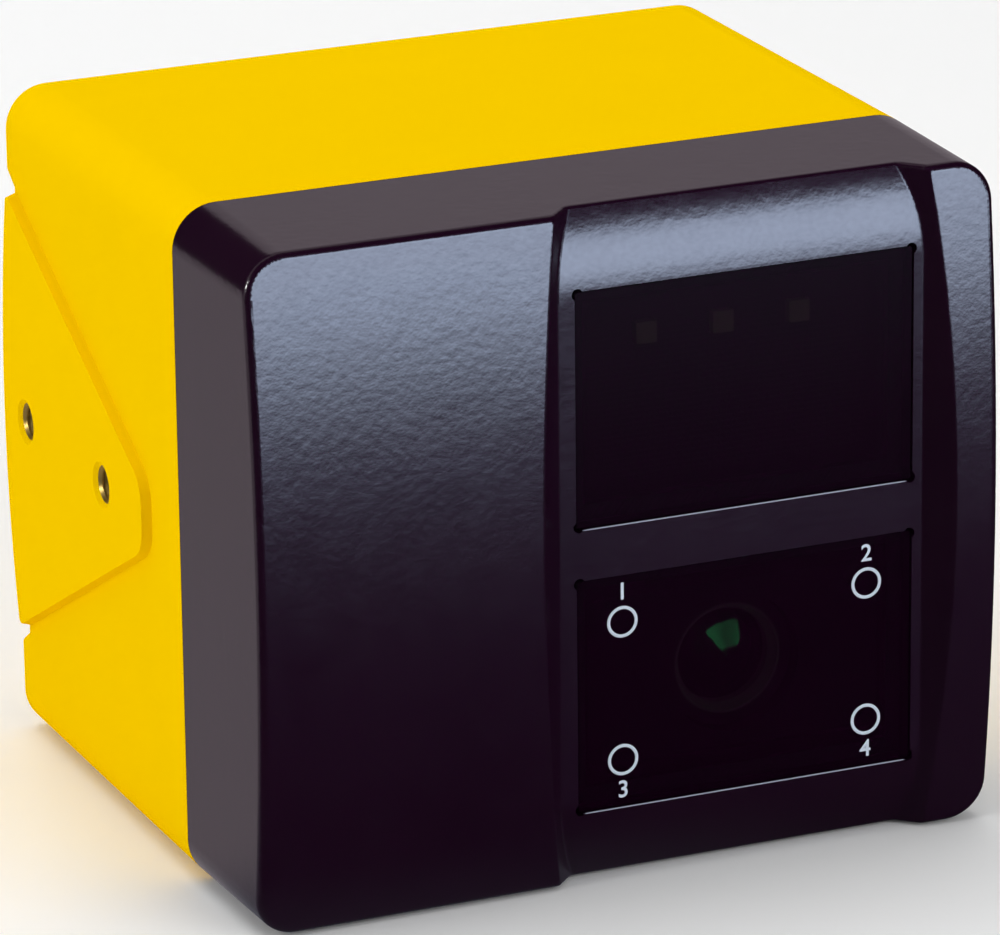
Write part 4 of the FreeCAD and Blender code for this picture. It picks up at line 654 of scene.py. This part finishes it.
def add_pocket_edges():
    """The lower lip of each window pocket: a fine round bead of paint, pale with a painted highlight where its
    round catches the light.
    """
    for name in ("illumination_window", "lens_window"):
        low, high = (Vector(corner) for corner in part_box(name))
        start = Vector((low.x + lip_inset, low.y - 0.19 * MM, low.z - 0.2 * MM))
        length = high.x - low.x - 2 * lip_inset
        lip = turned(f"{name}_lip", [
            (0, 0), (lip_radius - skin, 0.3 * MM), (lip_radius, 1.0 * MM), (lip_radius, length - 1.0 * MM),
            (lip_radius - skin, length - 0.3 * MM), (0, length)], painted_highlight_lip, looking_along(start, (1, 0, 0)), 12)


def add_power_shell():
    """Turned power connector with its outer thread, in place of the plain solid."""
    place = looking_along(Vector((power_axis.x, power_low.y, power_axis.z)), (0, 1, 0))
    base = housing_high.y - 3.0 * MM - power_low.y
    top = power_high.y - power_low.y
    bore, shank, flange_radius, core, tip = 4.7 * MM, 8.0 * MM, 9.6 * MM, 5.3 * MM, 5.75 * MM
    shell = turned("power_shell", [
        (bore, 0), (shank - 0.1 * MM, 0), (shank, 0.1 * MM), (shank, base), (flange_radius - 0.2 * MM, base),
        (flange_radius, base + 0.2 * MM), (flange_radius, base + 2.1 * MM), (9.3 * MM, base + 2.4 * MM),
        (6.4 * MM, base + 2.4 * MM), (core, base + 2.9 * MM), (core, top - 0.9 * MM),
        (tip, top - 0.9 * MM), (tip, top - 0.3 * MM), (5.5 * MM, top), (4.9 * MM, top),
        (bore, top - 0.2 * MM)], satin_nickel, place)
    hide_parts("power_connector")
    winding = thread.grow("power_thread", satin_nickel, radius=core + 0.05 * MM, ridge=0.6 * MM,
                          pitch=connector_pitch, length=top - base - 4.1 * MM, wall=-0.1 * MM, around=73, along=90)
    close_sleeve(winding.data)
    winding.data.transform(place @ Matrix.Translation((0, 0, base + 3.0 * MM)))
    smooth(winding.data, 60)


def add_network_thread():
    """Inner thread of the network connector."""
    place = looking_along(Vector((network_axis.x, network_high.y, network_axis.z)), (0, -1, 0))
    winding = thread.grow("network_thread", satin_nickel, radius=5.43 * MM, ridge=-0.3 * MM,
                          pitch=connector_pitch, length=6.8 * MM, wall=skin / 2, around=73, along=90)
    close_sleeve(winding.data)
    winding.data.transform(place @ Matrix.Translation((0, 0, 0.3 * MM)))
    smooth(winding.data, 60)


add_mounting_threads()
add_ring_prints()
add_pocket_edges()
add_power_shell()
add_network_thread()


# Floor, backdrop, lamps and camera

def mirrored_light(nodes, links, place, front_level, glow, card_end=0.05):
    """What the paint mirrors: a cool card in front and to the right, grey air behind, dark at the sides."""
    def across(slope):
        """Distance to the right of a line through the middle."""
        turn = nodes.new("ShaderNodeVectorMath")
        turn.operation = "DOT_PRODUCT"
        turn.inputs[1].default_value = (1, slope, 0)
        links.new(place, turn.inputs[0])
        return turn.outputs["Value"]

    split = nodes.new("ShaderNodeSeparateXYZ")
    links.new(place, split.inputs["Vector"])
    card_left = fade(nodes, links, across(-0.1), -0.02, 0.05)
    card_right = fade(nodes, links, across(1.3), card_end, card_end + 0.15, 1, 0)
    card = times(nodes, links, card_left, card_right)
    left_half = fade(nodes, links, across(-0.1), -0.1, 0.15, 1, 0)
    far = fade(nodes, links, split.outputs["Y"], 0.22, 0.5)
    far_left = fade(nodes, links, times(nodes, links, left_half, far), 0.0, 1.0, 1, 0.04)
    behind = times(nodes, links, fade(nodes, links, across(-1.2), 0.02, 0.08, 0.40, 0.02), far_left)
    rearward = fade(nodes, links, split.outputs["Y"], -0.05, -0.01)
    level = nodes.new("ShaderNodeMix")
    links.new(rearward, level.inputs["Factor"])
    links.new(times(nodes, links, card, front_level), level.inputs["A"])
    links.new(behind, level.inputs["B"])
    tone = nodes.new("ShaderNodeMix")
    tone.data_type = "RGBA"
    tone.inputs["A"].default_value = (0.63, 0.76, 1.0, 1)
    tone.inputs["B"].default_value = (1.0, 0.88, 0.95, 1)
    links.new(rearward, tone.inputs["Factor"])
    links.new(tone.outputs["Result"], glow.inputs["Color"])
    links.new(level.outputs["Result"], glow.inputs["Strength"])


def floor_finish():
    """Pale floor paint. What the glossy paints mirror of it darkens towards the part."""
    finish = Finish("floor_paint", (0.93, 0.93, 0.93, 1), 0.9)
    finish.shader.inputs["Specular IOR Level"].default_value = 0.1
    nodes, links = finish.nodes, finish.links
    split = nodes.new("ShaderNodeSeparateXYZ")
    links.new(finish.place, split.inputs["Vector"])
    reach = nodes.new("ShaderNodeMapRange")
    reach.inputs["From Min"].default_value = -1.0
    reach.inputs["From Max"].default_value = 0.2
    links.new(split.outputs["Y"], reach.inputs["Value"])
    glow = nodes.new("ShaderNodeValToRGB")
    stops = ((0.0, 1.0), (0.29, 0.96), (0.433, 0.68), (0.5, 0.43), (0.567, 0.21), (0.617, 0.075), (0.64, 0.045),
             (0.70, 0.016), (0.75, 0.003))
    while len(glow.color_ramp.elements) < len(stops):
        glow.color_ramp.elements.new(0.5)
    for element, (spot, level) in zip(glow.color_ramp.elements, stops):
        element.position = spot
        element.color = (level, level, level, 1)
    links.new(reach.outputs["Result"], glow.inputs["Fac"])
    front_level = nodes.new("ShaderNodeMath")
    front_level.operation = "MULTIPLY"
    links.new(glow.outputs["Color"], front_level.inputs[0])
    front_level.inputs[1].default_value = card_strength
    mirrored = nodes.new("ShaderNodeEmission")
    mirrored_light(nodes, links, finish.place, front_level.outputs[0], mirrored)
    mirrored_apart(nodes, links, finish.shader.outputs["BSDF"], mirrored.outputs["Emission"],
                   nodes["Material Output"].inputs["Surface"])
    return finish.material


def add_stage():
    """A pale floor that curves up into a backdrop."""
    half_width, front, bend, radius, height = 3.0, -3.0, 1.4, 0.8, 3.0
    profile = [(front, 0.0), (bend, 0.0)]
    steps = 12
    for step in range(1, steps + 1):
        angle = math.pi / 2 * step / steps
        profile.append((bend + radius * math.sin(angle), radius * (1 - math.cos(angle))))
    profile.append((bend + radius, height))
    points = [(side, y, z) for y, z in profile for side in (-half_width, half_width)]
    faces = [(2 * i, 2 * i + 1, 2 * i + 3, 2 * i + 2) for i in range(len(profile) - 1)]
    mesh = bpy.data.meshes.new("studio_floor")
    mesh.from_pydata(points, [], faces)
    mesh.materials.append(floor_finish())
    smooth(mesh)
    floor = bpy.data.objects.new("studio_floor", mesh)
    bpy.context.scene.collection.objects.link(floor)


def add_lamp(name, place, target, width, height, power, glints=False):
    """A soft lamp that lights the surfaces, or one that only glints in them."""
    light = bpy.data.lights.new(name, "AREA")
    light.shape = "RECTANGLE"
    light.size = width
    light.size_y = height
    light.energy = power
    lamp = bpy.data.objects.new(name, light)
    lamp.location = place
    lamp.rotation_euler = (Vector(target) - Vector(place)).to_track_quat("-Z", "Y").to_euler()
    lamp.visible_camera = False
    lamp.visible_glossy = glints
    lamp.visible_diffuse = not glints
    bpy.context.scene.collection.objects.link(lamp)


def add_lights():
    """Soft light from above, the left, the front and the rear, and one small glint on the left corner."""
    middle = (0, 0, 0.04)
    add_lamp("top_softbox", (-0.1, 0.2, 1.3), middle, 1.2, 1.2, 9.2)
    add_lamp("left_softbox", (-1.3, 0.1, 0.6), middle, 1.0, 1.0, 7.9)
    add_lamp("front_fill", (0.5, -1.1, 0.5), middle, 0.8, 0.8, 6.0)
    add_lamp("corner_glint", (-0.80, -0.11, 0.31), (-0.04, -0.03, 0.07), 0.08, 0.08, 2.0, glints=True)
    add_lamp("rear_softbox", (0.1, 1.5, 0.32), (0, 0.03, 0.04), 0.7, 0.4, 6.0)


def add_air():
    """Even pale air for the eye. What the paint mirrors is a card up to a low height, and dark above it."""
    world = bpy.data.worlds.new("studio_air")
    world.use_nodes = True
    nodes, links = world.node_tree.nodes, world.node_tree.links
    air = nodes["Background"]
    air.inputs["Color"].default_value = (1, 1, 1, 1)
    air.inputs["Strength"].default_value = 0.3
    direction = nodes.new("ShaderNodeTexCoord").outputs["Generated"]
    split = nodes.new("ShaderNodeSeparateXYZ")
    links.new(direction, split.inputs["Vector"])
    front_level = fade(nodes, links, split.outputs["Z"], 0.28, 0.34, card_strength, 0.02)
    mirrored = nodes.new("ShaderNodeBackground")
    mirrored_light(nodes, links, direction, front_level, mirrored, card_end=-0.36)
    mirrored_apart(nodes, links, air.outputs["Background"], mirrored.outputs["Background"],
                   nodes["World Output"].inputs["Surface"])
    bpy.context.scene.world = world


def add_camera():
    """Viewpoint in front of the part, to its left and above it."""
    standpoint = (-0.266267, -0.624983, 0.261047)
    right = Vector((0.91732, -0.39801, -0.01085))
    down = Vector((-0.13656, -0.28892, -0.94756))
    forward = Vector((0.374, 0.8707, -0.31938))
    data = bpy.data.cameras.new("camera")
    data.lens = 251.70
    data.sensor_width = 36
    data.clip_start = 0.05
    data.clip_end = 20
    camera = bpy.data.objects.new("camera", data)
    turn = Matrix((right, -down, -forward)).transposed()
    camera.matrix_world = Matrix.Translation(standpoint) @ turn.to_4x4()
    bpy.context.scene.collection.objects.link(camera)
    bpy.context.scene.camera = camera


add_stage()
add_lights()
add_air()
add_camera()
bpy.context.scene.view_settings.view_transform = "Standard"
